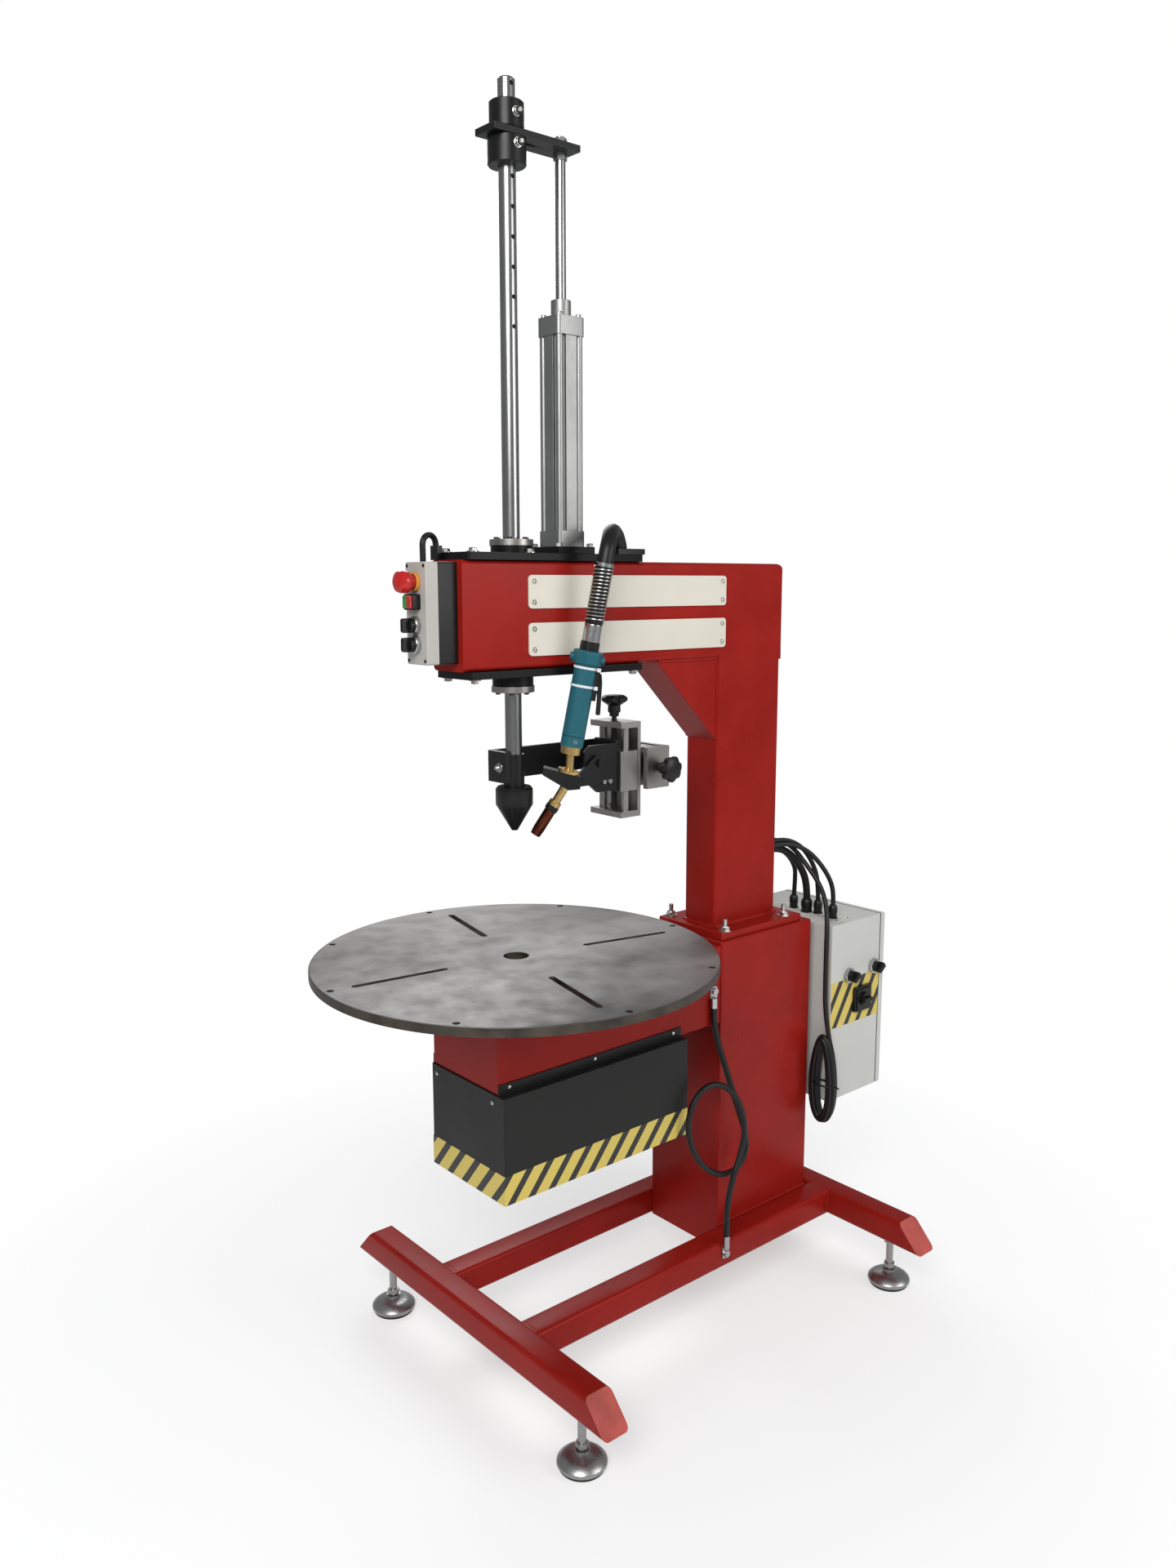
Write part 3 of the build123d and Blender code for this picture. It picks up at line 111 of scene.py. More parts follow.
def new_material(name, colour, roughness, metallic=0.0, coat=0.0, specular=0.5):
    """A principled material, with the tools to add its detail."""
    material = bpy.data.materials.new(name)
    material.use_nodes = True
    nodes = material.node_tree.nodes
    shader = nodes["Principled BSDF"]
    shader.inputs["Base Color"].default_value = (*colour, 1)
    shader.inputs["Roughness"].default_value = roughness
    shader.inputs["Metallic"].default_value = metallic
    shader.inputs["Coat Weight"].default_value = coat
    shader.inputs["Specular IOR Level"].default_value = specular
    return material, nodes, material.node_tree.links, shader


def noise(nodes, links, scale, detail=4.0, stretch=(1, 1, 1)):
    """A noise texture in object space, stretched along the axes."""
    coordinates = nodes.new("ShaderNodeTexCoord")
    mapping = nodes.new("ShaderNodeMapping")
    mapping.inputs["Scale"].default_value = stretch
    texture = nodes.new("ShaderNodeTexNoise")
    texture.inputs["Scale"].default_value = scale
    texture.inputs["Detail"].default_value = detail
    links.new(coordinates.outputs["Object"], mapping.inputs["Vector"])
    links.new(mapping.outputs["Vector"], texture.inputs["Vector"])
    return texture


def vary(nodes, links, factor, low, high, target):
    """Runs a colour between two values by a factor."""
    ramp = nodes.new("ShaderNodeValToRGB")
    ramp.color_ramp.elements[0].position = 0.35
    ramp.color_ramp.elements[1].position = 0.65
    ramp.color_ramp.elements[0].color = (*low, 1)
    ramp.color_ramp.elements[1].color = (*high, 1)
    links.new(factor, ramp.inputs["Fac"])
    links.new(ramp.outputs["Color"], target)


def spread(nodes, links, factor, low, high, target):
    """Runs a value between two limits by a factor."""
    mapped = nodes.new("ShaderNodeMapRange")
    mapped.inputs["From Min"].default_value = 0.3
    mapped.inputs["From Max"].default_value = 0.7
    mapped.inputs["To Min"].default_value = low
    mapped.inputs["To Max"].default_value = high
    links.new(factor, mapped.inputs["Value"])
    links.new(mapped.outputs["Result"], target)


def relief(nodes, links, height, strength, distance, shader):
    """Bump from a height."""
    bump = nodes.new("ShaderNodeBump")
    bump.inputs["Strength"].default_value = strength
    bump.inputs["Distance"].default_value = distance
    links.new(height, bump.inputs["Height"])
    links.new(bump.outputs["Normal"], shader.inputs["Normal"])


def scaled(colour, share):
    return tuple(min(1.0, part * share) for part in colour)


def paint(name, colour, roughness, grain, depth, mottle=0.06, coat=0.0, specular=0.32):
    """Paint with orange peel and a slight mottle."""
    material, nodes, links, shader = new_material(name, colour, roughness, coat=coat, specular=specular)
    cloud = noise(nodes, links, 9.0, 5.0)
    vary(nodes, links, cloud.outputs["Fac"], scaled(colour, 1 - mottle), scaled(colour, 1 + mottle),
         shader.inputs["Base Color"])
    peel = noise(nodes, links, grain, 2.0)
    relief(nodes, links, peel.outputs["Fac"], depth, 0.001, shader)
    spread(nodes, links, cloud.outputs["Fac"], roughness - 0.04, roughness + 0.06, shader.inputs["Roughness"])
    return material


def metal(name, colour, roughness, stretch=(1, 1, 1), grain=260.0, depth=0.12, mottle=0.1, wear=0.08):
    """Metal with machining marks along one direction."""
    material, nodes, links, shader = new_material(name, colour, roughness, metallic=1.0)
    cloud = noise(nodes, links, 14.0, 6.0)
    vary(nodes, links, cloud.outputs["Fac"], scaled(colour, 1 - mottle), scaled(colour, 1 + mottle),
         shader.inputs["Base Color"])
    marks = noise(nodes, links, grain, 3.0, stretch)
    spread(nodes, links, marks.outputs["Fac"], roughness - wear, roughness + wear, shader.inputs["Roughness"])
    relief(nodes, links, marks.outputs["Fac"], depth, 0.0004, shader)
    return material


def plastic(name, colour, roughness, grain=900.0, depth=0.05, coat=0.0):
    """Moulded plastic with a fine grain."""
    return paint(name, colour, roughness, grain, depth, mottle=0.04, coat=coat)


def striped(name, first, second, across, width):
    """Diagonal hazard stripes. across is the direction, in metres, in which they follow one another."""
    material, nodes, links, shader = new_material(name, first, 0.45)
    coordinates = nodes.new("ShaderNodeTexCoord")
    along = nodes.new("ShaderNodeVectorMath")
    along.operation = "DOT_PRODUCT"
    along.inputs[1].default_value = across
    links.new(coordinates.outputs["Object"], along.inputs[0])
    wrap = nodes.new("ShaderNodeMath")
    wrap.operation = "FRACT"
    divide = nodes.new("ShaderNodeMath")
    divide.operation = "DIVIDE"
    divide.inputs[1].default_value = width
    links.new(along.outputs["Value"], divide.inputs[0])
    links.new(divide.outputs["Value"], wrap.inputs[0])
    edge = nodes.new("ShaderNodeMath")
    edge.operation = "GREATER_THAN"
    edge.inputs[1].default_value = 0.38
    links.new(wrap.outputs["Value"], edge.inputs[0])
    mix = nodes.new("ShaderNodeMix")
    mix.data_type = "RGBA"
    mix.inputs["A"].default_value = (*first, 1)
    mix.inputs["B"].default_value = (*second, 1)
    links.new(edge.outputs["Value"], mix.inputs["Factor"])
    links.new(mix.outputs["Result"], shader.inputs["Base Color"])
    return material


def table_steel():
    """Mill-scale plate with overlapping swirls of the grinder and a darker, browner rim."""
    material, nodes, links, shader = new_material("table_steel", (0.15, 0.145, 0.14), 0.5, metallic=0.55)
    cloud = noise(nodes, links, 4.0, 9.0, (1, 0.45, 1))
    blotch = noise(nodes, links, 21.0, 5.0)
    coordinates = nodes.new("ShaderNodeTexCoord")
    place = nodes.new("ShaderNodeSeparateXYZ")
    links.new(coordinates.outputs["Object"], place.inputs["Vector"])
    face = nodes.new("ShaderNodeMath")
    face.operation = "GREATER_THAN"
    face.inputs[1].default_value = table_high.z - 0.0011
    links.new(place.outputs["Z"], face.inputs[0])
    mix = nodes.new("ShaderNodeMix")
    mix.data_type = "RGBA"
    vary(nodes, links, cloud.outputs["Fac"], (0.055, 0.05, 0.046), (0.21, 0.205, 0.20), mix.inputs["B"])
    vary(nodes, links, blotch.outputs["Fac"], (0.03, 0.024, 0.019), (0.075, 0.06, 0.047), mix.inputs["A"])
    links.new(face.outputs["Value"], mix.inputs["Factor"])
    links.new(mix.outputs["Result"], shader.inputs["Base Color"])
    cells = nodes.new("ShaderNodeTexVoronoi")
    cells.inputs["Scale"].default_value = 9.0
    links.new(coordinates.outputs["Object"], cells.inputs["Vector"])
    times = nodes.new("ShaderNodeMath")
    times.operation = "MULTIPLY"
    times.inputs[1].default_value = 160.0
    links.new(cells.outputs["Distance"], times.inputs[0])
    rings = nodes.new("ShaderNodeMath")
    rings.operation = "SINE"
    links.new(times.outputs["Value"], rings.inputs[0])
    relief(nodes, links, rings.outputs["Value"], 0.05, 0.0003, shader)
    spread(nodes, links, blotch.outputs["Fac"], 0.38, 0.6, shader.inputs["Roughness"])
    return material


table_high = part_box("table_plate")[1]
RED = (0.25, 0.0095, 0.006)
materials = {
    "red_paint": paint("red_paint", RED, 0.30, 420.0, 0.08, 0.08, specular=0.12),
    "black_paint": paint("black_paint", (0.0055, 0.0055, 0.006), 0.34, 500.0, 0.08, specular=0.16),
    "black_oxide": paint("black_oxide", (0.0045, 0.0045, 0.005), 0.34, 700.0, 0.10),
    "steel": metal("steel", (0.33, 0.32, 0.30), 0.36, (1, 1, 8)),
    "mill_steel": table_steel(),
    "chrome_shaft": metal("chrome_shaft", (0.30, 0.298, 0.295), 0.25, (1, 1, 0.1), 60.0, 0.0, 0.05,
                          wear=0.02),
    "ground_red": paint("ground_red", (0.42, 0.075, 0.06), 0.62, 420.0, 0.5, mottle=0.3),
    "foot_steel": metal("foot_steel", (0.36, 0.36, 0.355), 0.36, (1, 1, 1), 180.0, 0.02, mottle=0.05,
                        wear=0.05),
    "nickel": metal("nickel", (0.46, 0.46, 0.46), 0.22, (1, 1, 1), 200.0, 0.03, wear=0.04),
    "aluminium": metal("aluminium", (0.31, 0.31, 0.305), 0.44, (10, 10, 0.4), 160.0, 0.03, 0.06),
    "rubber": plastic("rubber", (0.006, 0.006, 0.006), 0.42),
    "off_white": paint("off_white", (0.60, 0.57, 0.49), 0.42, 600.0, 0.05, 0.02),
    "light_grey": paint("light_grey", (0.50, 0.50, 0.47), 0.5, 700.0, 0.12, 0.02),
    "grey_plastic": plastic("grey_plastic", (0.40, 0.385, 0.355), 0.45),
    "black_plastic": plastic("black_plastic", (0.0055, 0.0055, 0.0055), 0.36),
    "red_plastic": plastic("red_plastic", (0.42, 0.01, 0.008), 0.28, 900.0, 0.02, 0.3),
    "green_plastic": plastic("green_plastic", (0.02, 0.22, 0.05), 0.3, 900.0, 0.02, 0.3),
    "teal_plastic": plastic("teal_plastic", (0.010, 0.092, 0.122), 0.38),
    "brass": metal("brass", (0.55, 0.38, 0.15), 0.30, (1, 1, 6), 200.0, 0.08),
    "copper": metal("copper", (0.13, 0.035, 0.018), 0.30, (1, 1, 1), 60.0, 0.05, 0.35),
    "cover_grey": paint("cover_grey", (0.0125, 0.0125, 0.012), 0.4, 600.0, 0.05, specular=0.2),
    "gear_steel": metal("gear_steel", (0.30, 0.30, 0.29), 0.32),
    "zinc": metal("zinc", (0.52, 0.51, 0.48), 0.28, (1, 1, 1), 300.0, 0.06),
    "tie_white": plastic("tie_white", (0.62, 0.66, 0.68), 0.4),
    "orange_plastic": plastic("orange_plastic", (0.62, 0.25, 0.04), 0.4),
}
YELLOW = (0.58, 0.45, 0.09)
BLACK = (0.014, 0.014, 0.014)


# Making pieces

sharp_angle = math.radians(32)
shading_angle = math.radians(38)
flat_angle = math.radians(0.6)


def finish_piece(name, mesh, material, body, bevel=0.0):
    """Makes the object of a mesh and lets it ride on its body."""
    piece = bpy.data.objects.new(name, mesh)
    bpy.context.collection.objects.link(piece)
    mesh.materials.clear()
    mesh.materials.append(materials[material] if isinstance(material, str) else material)
    for face in mesh.polygons:
        face.use_smooth = True
    if bevel:
        modifier = piece.modifiers.new("rounding", "BEVEL")
        modifier.width = bevel
        modifier.segments = 3
        modifier.limit_method = "WEIGHT"
        modifier.use_clamp_overlap = False
        modifier.harden_normals = True
    else:
        mesh.set_sharp_from_angle(angle=shading_angle)
    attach(piece, body)
    return piece


# Nodes whose look isn't that of their slot
looks = {"main_switch": "black_plastic", "torch_fittings": "black_plastic", "levelling_feet": "foot_steel"}


def mark_edges(form, bevel, run=0.0):
    """Marks the sharp outer edges that are long enough to be rounded. Those shorter than run get a fifth."""
    weight = form.edges.layers.float.new("bevel_weight_edge")
    form.normal_update()
    for edge in form.edges:
        sharp = len(edge.link_faces) == 2 and edge.calc_face_angle(0) > sharp_angle
        rounded = sharp and edge.is_convex and edge.calc_length() > 4 * bevel
        edge.smooth = rounded or not sharp
        if rounded:
            edge[weight] = 1 if edge.calc_length() > run else 0.2


def refined(node, bevel):
    """A CAD node with its triangles merged and its edges rounded, which stands for the node."""
    source = frame["nodes"][node]
    form = bmesh.new()
    form.from_mesh(source.data)
    bmesh.ops.remove_doubles(form, verts=form.verts, dist=2e-6)
    bmesh.ops.dissolve_limit(form, angle_limit=flat_angle, verts=form.verts, edges=form.edges)
    mark_edges(form, bevel, 0.2 if node == "table_beam" else 0.0)
    mesh = bpy.data.meshes.new(node + "_form")
    form.to_mesh(mesh)
    form.free()
    if "custom_normal" in mesh.attributes:
        mesh.attributes.remove(mesh.attributes["custom_normal"])
    slot = next(part["material_slot"] for part in frame["record"]["subparts"] if part["node"] == node)
    piece = finish_piece(node + "_form", mesh, looks.get(node, slot), body_of_node(node), bevel)
    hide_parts(node)


def body_of_node(node):
    return next(body for body, nodes in frame["record"]["behaviour"]["bodies"].items() if node in nodes)


def lathe(form, profile, matrix, steps=32):
    """Turns (radius, height) points about the local Z axis."""
    rings = []
    for radius, height in profile:
        if radius < 1e-6:
            rings.append([form.verts.new(matrix @ Vector((0, 0, height)))])
        else:
            angles = [2 * math.pi * step / steps for step in range(steps)]
            places = [(radius * math.cos(angle), radius * math.sin(angle), height) for angle in angles]
            rings.append([form.verts.new(matrix @ Vector(place)) for place in places])
    for low, high in zip(rings, rings[1:]):
        for step in range(steps):
            after = (step + 1) % steps
            corners = [low[step % len(low)], low[after % len(low)],
                       high[after % len(high)], high[step % len(high)]]
            unique = list(dict.fromkeys(corners))
            if len(unique) > 2:
                form.faces.new(unique)


def polygon_prism(form, outline, low, high, matrix):
    """Draws an (x, y) outline out along the local Z axis."""
    bottom = [form.verts.new(matrix @ Vector((x, y, low))) for x, y in outline]
    top = [form.verts.new(matrix @ Vector((x, y, high))) for x, y in outline]
    form.faces.new(list(reversed(bottom)))
    form.faces.new(top)
    count = len(outline)
    for step in range(count):
        after = (step + 1) % count
        form.faces.new([bottom[step], bottom[after], top[after], top[step]])


def regular(count, radius):
    """The corners of a regular polygon."""
    angles = [2 * math.pi * step / count for step in range(count)]
    return [(radius * math.cos(angle), radius * math.sin(angle)) for angle in angles]


def cap_screw(form, matrix, radius, height):
    """A socket cap screw's head with its recess, sunk a little in its seat."""
    lathe(form, [(0, -0.5), (radius, -0.5), (radius, height * 0.86), (radius * 0.93, height),
                 (radius * 0.56, height), (radius * 0.5, height * 0.45), (0, height * 0.4)], matrix, 20)


def hex_bolt(form, matrix, radius, height, washer=0.0, stud=0.0):
    """A hexagon head with its chamfered top, on a washer, with the end of its thread if it is a nut."""
    if washer:
        lathe(form, [(0, -0.3), (washer, -0.3), (washer, 1.5), (washer - 0.3, 1.8), (0, 1.8)], matrix, 24)
    polygon_prism(form, regular(6, radius), -0.3, 1.6 + height * 0.85, matrix)
    lathe(form, [(0, 1.6), (radius * 0.87, 1.6), (radius * 0.87, height * 0.85 + 1.6),
                 (radius * 0.78, height + 1.6), (0, height + 1.7)], matrix, 18)
    if stud:
        core = radius * 0.5
        turns = [(core - 0.35 * (step % 2), height + 1.6 + stud * step / 9) for step in range(10)]
        lathe(form, [(0, height)] + turns + [(0, height + 1.6 + stud)], matrix, 16)


def pan_screw(form, matrix, radius):
    """A domed screw with a recess."""
    lathe(form, [(0, -0.4), (radius, -0.4), (radius * 0.95, radius * 0.3), (radius * 0.6, radius * 0.55),
                 (radius * 0.3, radius * 0.6), (radius * 0.25, radius * 0.35), (0, radius * 0.3)], matrix, 18)


def block(form, x, y, z, matrix=None):
    """A box between two values in millimetres on each axis."""
    outline = [(x[0], y[0]), (x[1], y[0]), (x[1], y[1]), (x[0], y[1])]
    polygon_prism(form, outline, z[0], z[1], matrix or Matrix.Translation(at(0, 0, 0)) @ millimetres)


def rounded_outline(wide, high, radius, steps=6):
    """A rectangle with round corners."""
    points = []
    for turn, (x, y) in enumerate([(1, 1), (-1, 1), (-1, -1), (1, -1)]):
        for step in range(steps + 1):
            angle = math.pi / 2 * (turn + step / steps)
            points.append((x * (wide / 2 - radius) + radius * math.cos(angle),
                           y * (high / 2 - radius) + radius * math.sin(angle)))
    return points


def ring(outer, inner, low, high, soft=0.4):
    """The closed profile of a ring with softened edges."""
    return [(inner, low), (outer - soft, low), (outer, low + soft), (outer, high - soft),
            (outer - soft, high), (inner, high), (inner, low)]


def tube(form, points, radii, sides=8):
    """A closed tube along points, with a radius for each point."""
    rings = []
    normal = (points[1] - points[0]).orthogonal().normalized()
    for index, point in enumerate(points):
        before = points[max(index - 1, 0)]
        after = points[min(index + 1, len(points) - 1)]
        along = (after - before).normalized()
        normal = (normal - along * normal.dot(along)).normalized()
        across = along.cross(normal)
        radius = radii[index]
        rings.append([form.verts.new(point + (normal * math.cos(a) + across * math.sin(a)) * radius)
                      for a in (2 * math.pi * step / sides for step in range(sides))])
    for low, high in zip(rings, rings[1:]):
        for step in range(sides):
            after = (step + 1) % sides
            form.faces.new([low[step], low[after], high[after], high[step]])
    form.faces.new(list(reversed(rings[0])))
    form.faces.new(rings[-1])


def weld(form, start, end, radius, draws, ripple=0.14):
    """A ripple-edged weld bead between two places in millimetres."""
    first = at(*start)
    last = at(*end)
    count = max(4, int((last - first).length / 0.0025))
    points = [first.lerp(last, step / count) for step in range(count + 1)]
    radii = [radius / 1000 * (1 - ripple * (step % 2) + ripple * draws.uniform(-0.35, 0.35))
             for step in range(count + 1)]
    tube(form, points, radii)


def made(name, build, material, body, bevel=0.0):
    """A piece from a function that fills a mesh."""
    form = bmesh.new()
    build(form)
    bmesh.ops.remove_doubles(form, verts=form.verts, dist=1e-7)
    bmesh.ops.recalc_face_normals(form, faces=form.faces)
    mark_edges(form, bevel)
    mesh = bpy.data.meshes.new(name)
    form.to_mesh(mesh)
    form.free()
    return finish_piece(name, mesh, material, body, bevel)


# CAD nodes that are cleaned and rounded, each with the rounding of its edges in metres
rounding = {
    "levelling_feet": 0.0008, "foot_rubbers": 0.0015, "pedestal": 0.003, "column": 0.0015, "arm": 0.0015,
    "arm_plates": 0.0008, "quill_bushes": 0.0006, "cylinder_body": 0.0006, "table_beam": 0.003,
    "table_bearings": 0.001, "drive_cover": 0.0012, "gearmotor": 0.001, "control_box_base": 0.0012,
    "control_box_cover": 0.0008, "control_bezels": 0.0006, "cabinet_shell": 0.0012, "cabinet_gear": 0.001,
    "cable_glands": 0.0006, "nameplates": 0.0005, "hose_anchor": 0.001, "earth_lugs": 0.0006,
    "table_plate": 0.0008, "table_shaft": 0.0008, "driven_gear": 0.0, "drive_pinion": 0.0,
    "cross_head": 0.0008, "torch_arm": 0.0008, "cross_slide_frame": 0.0006, "live_centre": 0.0008,
    "cross_carriage": 0.0006, "lift_slide_frame": 0.0006, "cross_screw": 0.001, "lift_carriage": 0.0006,
    "torch_bracket": 0.0008, "lift_screw": 0.001, "torch_clamp": 0.001, "torch_handle": 0.0015,
    "torch_neck": 0.0008, "torch_nozzle": 0.0005, "torch_fittings": 0.0006, "torch_lever": 0.001,
    "estop_button": 0.0006, "start_button": 0.0008, "stop_button": 0.0008, "selector_upper": 0.0006,
    "selector_lower": 0.0006, "cabinet_knob_front": 0.0006, "cabinet_knob_rear": 0.0006,
    "main_switch": 0.0008, "cabinet_door": 0.0015,
}
for node, bevel in rounding.items():
    refined(node, bevel)

for node in ("quill_shaft", "piston_rod"):
    for holder in frame["nodes"][node].material_slots:
        holder.material = materials["chrome_shaft"]


# The base's square tubes, in millimetres
tube_low = 113
tube_half = 30
tube_centre = tube_low + tube_half
tube_high = tube_low + 2 * tube_half
leg_places = (-107, 817)
leg_half_length = 422
leg_slope = 56
beam_places = (-137, 137)
beam_middle = 355
beam_half_length = 440
foot_places = (-325, 325)


def square_tube(form, corner, place):
    """A square tube with round corners. place(end, across, height) gives a place for each end, -1 or 1."""
    section = rounded_outline(2 * tube_half, 2 * tube_half, corner)
    ends = [[form.verts.new(place(end, across, tube_centre + rise)) for across, rise in section]
            for end in (-1, 1)]
    for low, high in ((step, (step + 1) % len(section)) for step in range(len(section))):
        form.faces.new([ends[0][low], ends[0][high], ends[1][high], ends[1][low]])
    for end in ends:
        form.faces.new(end)


def leg_tubes(form):
    """The two cross legs, whose ends slope."""
    for y in leg_places:
        square_tube(form, 10, lambda end, across, height: at(
            end * (leg_half_length - (height - tube_low) / (2 * tube_half) * leg_slope), y + across, height))


def beam_tubes(form):
    """The two beams, which run a little into the legs' round corners."""
    for x in beam_places:
        square_tube(form, 9, lambda end, across, height: at(
            x + across, beam_middle + end * beam_half_length, height))


legs = made("cross_legs_form", leg_tubes, "red_paint", "frame")
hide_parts("cross_legs")
legs.data.materials.append(materials["ground_red"])
for face in legs.data.polygons:
    face.material_index = 1 if abs(face.normal.x) > 0.5 else 0
beams = made("base_beams_form", beam_tubes, "red_paint", "frame")
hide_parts("base_beams")


# Cords, with their routes in millimetres

earth_route = [(115, 443, 690), (115, 443, 664), (118, 448, 630), (122, 456, 596), (128, 467, 556),
               (134, 479, 512), (141, 495, 458), (148, 512, 404), (153, 515, 360), (156, 489, 325),
               (158, 435, 322),
               (156, 378, 356), (152, 342, 411), (149, 332, 465), (150, 345, 510), (152, 372, 537),
               (157, 409, 541), (163, 445, 522), (168, 475, 478), (172, 488, 425), (174, 476, 378),
               (176, 450, 330), (176, 433, 282), (175, 430, 236), (175, 430, 192)]

lead_route = [(8, 712, 1004), (12, 750, 1003), (27, 789, 985), (57, 806, 944), (97, 812, 900),
              (124, 803, 860), (139, 790, 815), (146, 780, 760), (148, 778, 690), (149, 778, 620)]

bundle_routes = [
    [(-8, 712, 986), (-6, 750, 988), (2, 798, 964), (2, 834, 926), (-12, 853, 888), (-18, 857, 845)],
    [(20, 712, 984), (21, 748, 985), (24, 794, 962), (27, 830, 922), (28, 848, 883), (27, 851, 845)],
    [(26, 712, 1002), (33, 752, 1008), (48, 802, 985), (52, 840, 938), (55, 857, 893), (54, 860, 845)],
    [(38, 712, 996), (44, 752, 999), (62, 800, 980), (78, 833, 945), (97, 850, 905), (105, 853, 872),
     (105, 852, 845)],
]

hose_route = [(109.1, 128.7, 1598.5), (114.4, 134.9, 1642.7), (106, 150, 1672), (88, 170, 1689),
              (66, 197, 1690), (49, 221, 1679), (38, 236, 1661)]

control_route = [(-27, -178, 1630), (-27, -178, 1648), (-26.6, -178.6, 1665), (-28.5, -173.2, 1673.6),
                 (-31, -165, 1678.6), (-34, -155.5, 1678.6), (-36.5, -147.3, 1673.6), (-38, -142.5, 1665),
                 (-38, -142.5, 1656)]


def curve_of(name, route, radius):
    """A smooth curve with a round section. Its points carry the radius, so that its box is true."""
    data = bpy.data.curves.new(name, "CURVE")
    data.dimensions = "3D"
    data.resolution_u = 12
    data.bevel_depth = 1
    data.bevel_resolution = 5
    data.use_fill_caps = True
    spline = data.splines.new("NURBS")
    spline.points.add(len(route) - 1)
    for point, place in zip(spline.points, route):
        point.co = (*at(*place), 1)
        point.radius = radius / 1000
    spline.order_u = 3
    spline.use_endpoint_u = True
    return bpy.data.objects.new(name, data)


def line_of(curve):
    """The points of a curve's own line."""
    depth = curve.data.bevel_depth
    curve.data.bevel_depth = 0
    bpy.context.view_layer.update()
    graph = bpy.context.evaluated_depsgraph_get()
    mesh = bpy.data.meshes.new_from_object(curve.evaluated_get(graph))
    curve.data.bevel_depth = depth
    points = [vertex.co.copy() for vertex in mesh.vertices]
    bpy.data.meshes.remove(mesh)
    return points


def length_of(curve):
    """The length of a curve's own line, in metres."""
    points = line_of(curve)
    return sum((b - a).length for a, b in zip(points, points[1:]))


def laid_cord(name, route, radius, material, body, nodes):
    """A cord that rides on one body and stands for its CAD solids."""
    curve = curve_of(name, route, radius)
    bpy.context.collection.objects.link(curve)
    curve.data.materials.append(materials[material])
    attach(curve, body)
    if nodes:
        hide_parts(*nodes)
    length_of(curve)


def hank_route():
    """The turns of the hank: upright ovals, fuller below, that shift a little from one to the next."""
    middle = (149, 778, 450)
    turns = 6
    steps = 14
    places = []
    for step in range(1, turns * steps):
        angle = math.pi / 2 - 2 * math.pi * step / steps
        shift = 2 * math.pi * step / steps / turns + 0.6
        wide = (25 + 8 * math.cos(shift)) * (1 - 0.22 * math.sin(angle))
        high = 99 + 7 * math.cos(shift)
        places.append((middle[0] + wide * math.cos(angle), middle[1] + 9 * math.sin(shift),
                       middle[2] + high * math.sin(angle)))
    return places


laid_cord("earth_cord", earth_route, 6.5, "rubber", "frame", ["earth_cable"])
bundle_radii = (5.5, 8.5, 5.5, 5.5)
for number, (route, radius) in enumerate(zip(bundle_routes, bundle_radii)):
    laid_cord("cabinet_cord_%d" % number, route, radius, "rubber", "frame",
              ["cabinet_cables"] if number == 0 else [])
laid_cord("supply_lead", lead_route + hank_route(), 5.5, "rubber", "frame", ["coil_lead", "cable_coil"])
laid_cord("control_cord", control_route, 5.5, "rubber", "frame", ["control_cable"])


def torch_hose():
    """The torch's hose, one curved tube between the frame and the quill, which rides on no body."""
    curve = curve_of("hose_line", hose_route, 15.5)
    bpy.context.collection.objects.link(curve)
    path = line_of(curve)
    bpy.context.view_layer.update()
    mesh = bpy.data.meshes.new_from_object(curve.evaluated_get(bpy.context.evaluated_depsgraph_get()))
    length = length_of(curve)
    bpy.data.objects.remove(curve)
    hose = bpy.data.objects.new("torch_hose_tube", mesh)
    bpy.context.collection.objects.link(hose)
    mesh.materials.clear()
    mesh.materials.append(materials["rubber"])
    for face in mesh.polygons:
        face.use_smooth = True
    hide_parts("torch_hose")
    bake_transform(hose)


torch_hose()


# Small pieces on the frame

chance = random.Random(7)
plate_top = 1648
plate_bottom = 1420
foot_top = 843
box_front = -212


def arm_seam(form):
    """The arm's root, filled and ground flush with the column."""
    block(form, (-48.1, 48.1), (511.5, 711.1), (1425, 1447))


def frame_welds(form):
    """The beads round the column's foot, the pedestal, the beams' ends and the arm's bracket."""
    for x in (-48, 48):
        weld(form, (x, 511, foot_top), (x, 711, foot_top), 4.5, chance)
    for y in (511, 711):
        weld(form, (-48, y, foot_top), (48, y, foot_top), 4.5, chance)
    for side in (-1, 1):
        weld(form, (side * 107, 475, tube_high), (side * 107, 769, tube_high), 4, chance)
        weld(form, (side * 107, 473, 650), (side * 107, 473, 818), 4, chance)
        for y in (-77, 787):
            weld(form, (side * 117, y, 168), (side * 157, y, 168), 5.5, chance, 0.03)
            weld(form, (side * 165.5, y, 122), (side * 165.5, y, 163), 4, chance, 0.05)
            weld(form, (side * 108.5, y, 122), (side * 108.5, y, 163), 4, chance, 0.05)
        weld(form, (side * 44, 337, 1434), (side * 44, 509, 1434), 3.4, chance)
        weld(form, (side * 44, 511, 1260), (side * 44, 511, 1432), 3.4, chance)


def foot_threads(form):
    """The threads of the levelling feet, between their two nuts."""
    profile = [(0, 0.0505)]
    for step in range(49):
        profile.append((0.0086 if step % 2 else 0.0076, 0.051 + step * 0.001))
    profile.append((0, 0.0995))
    for x in foot_places:
        for y in leg_places:
            lathe(form, profile, placed(x, y, 0), 20)


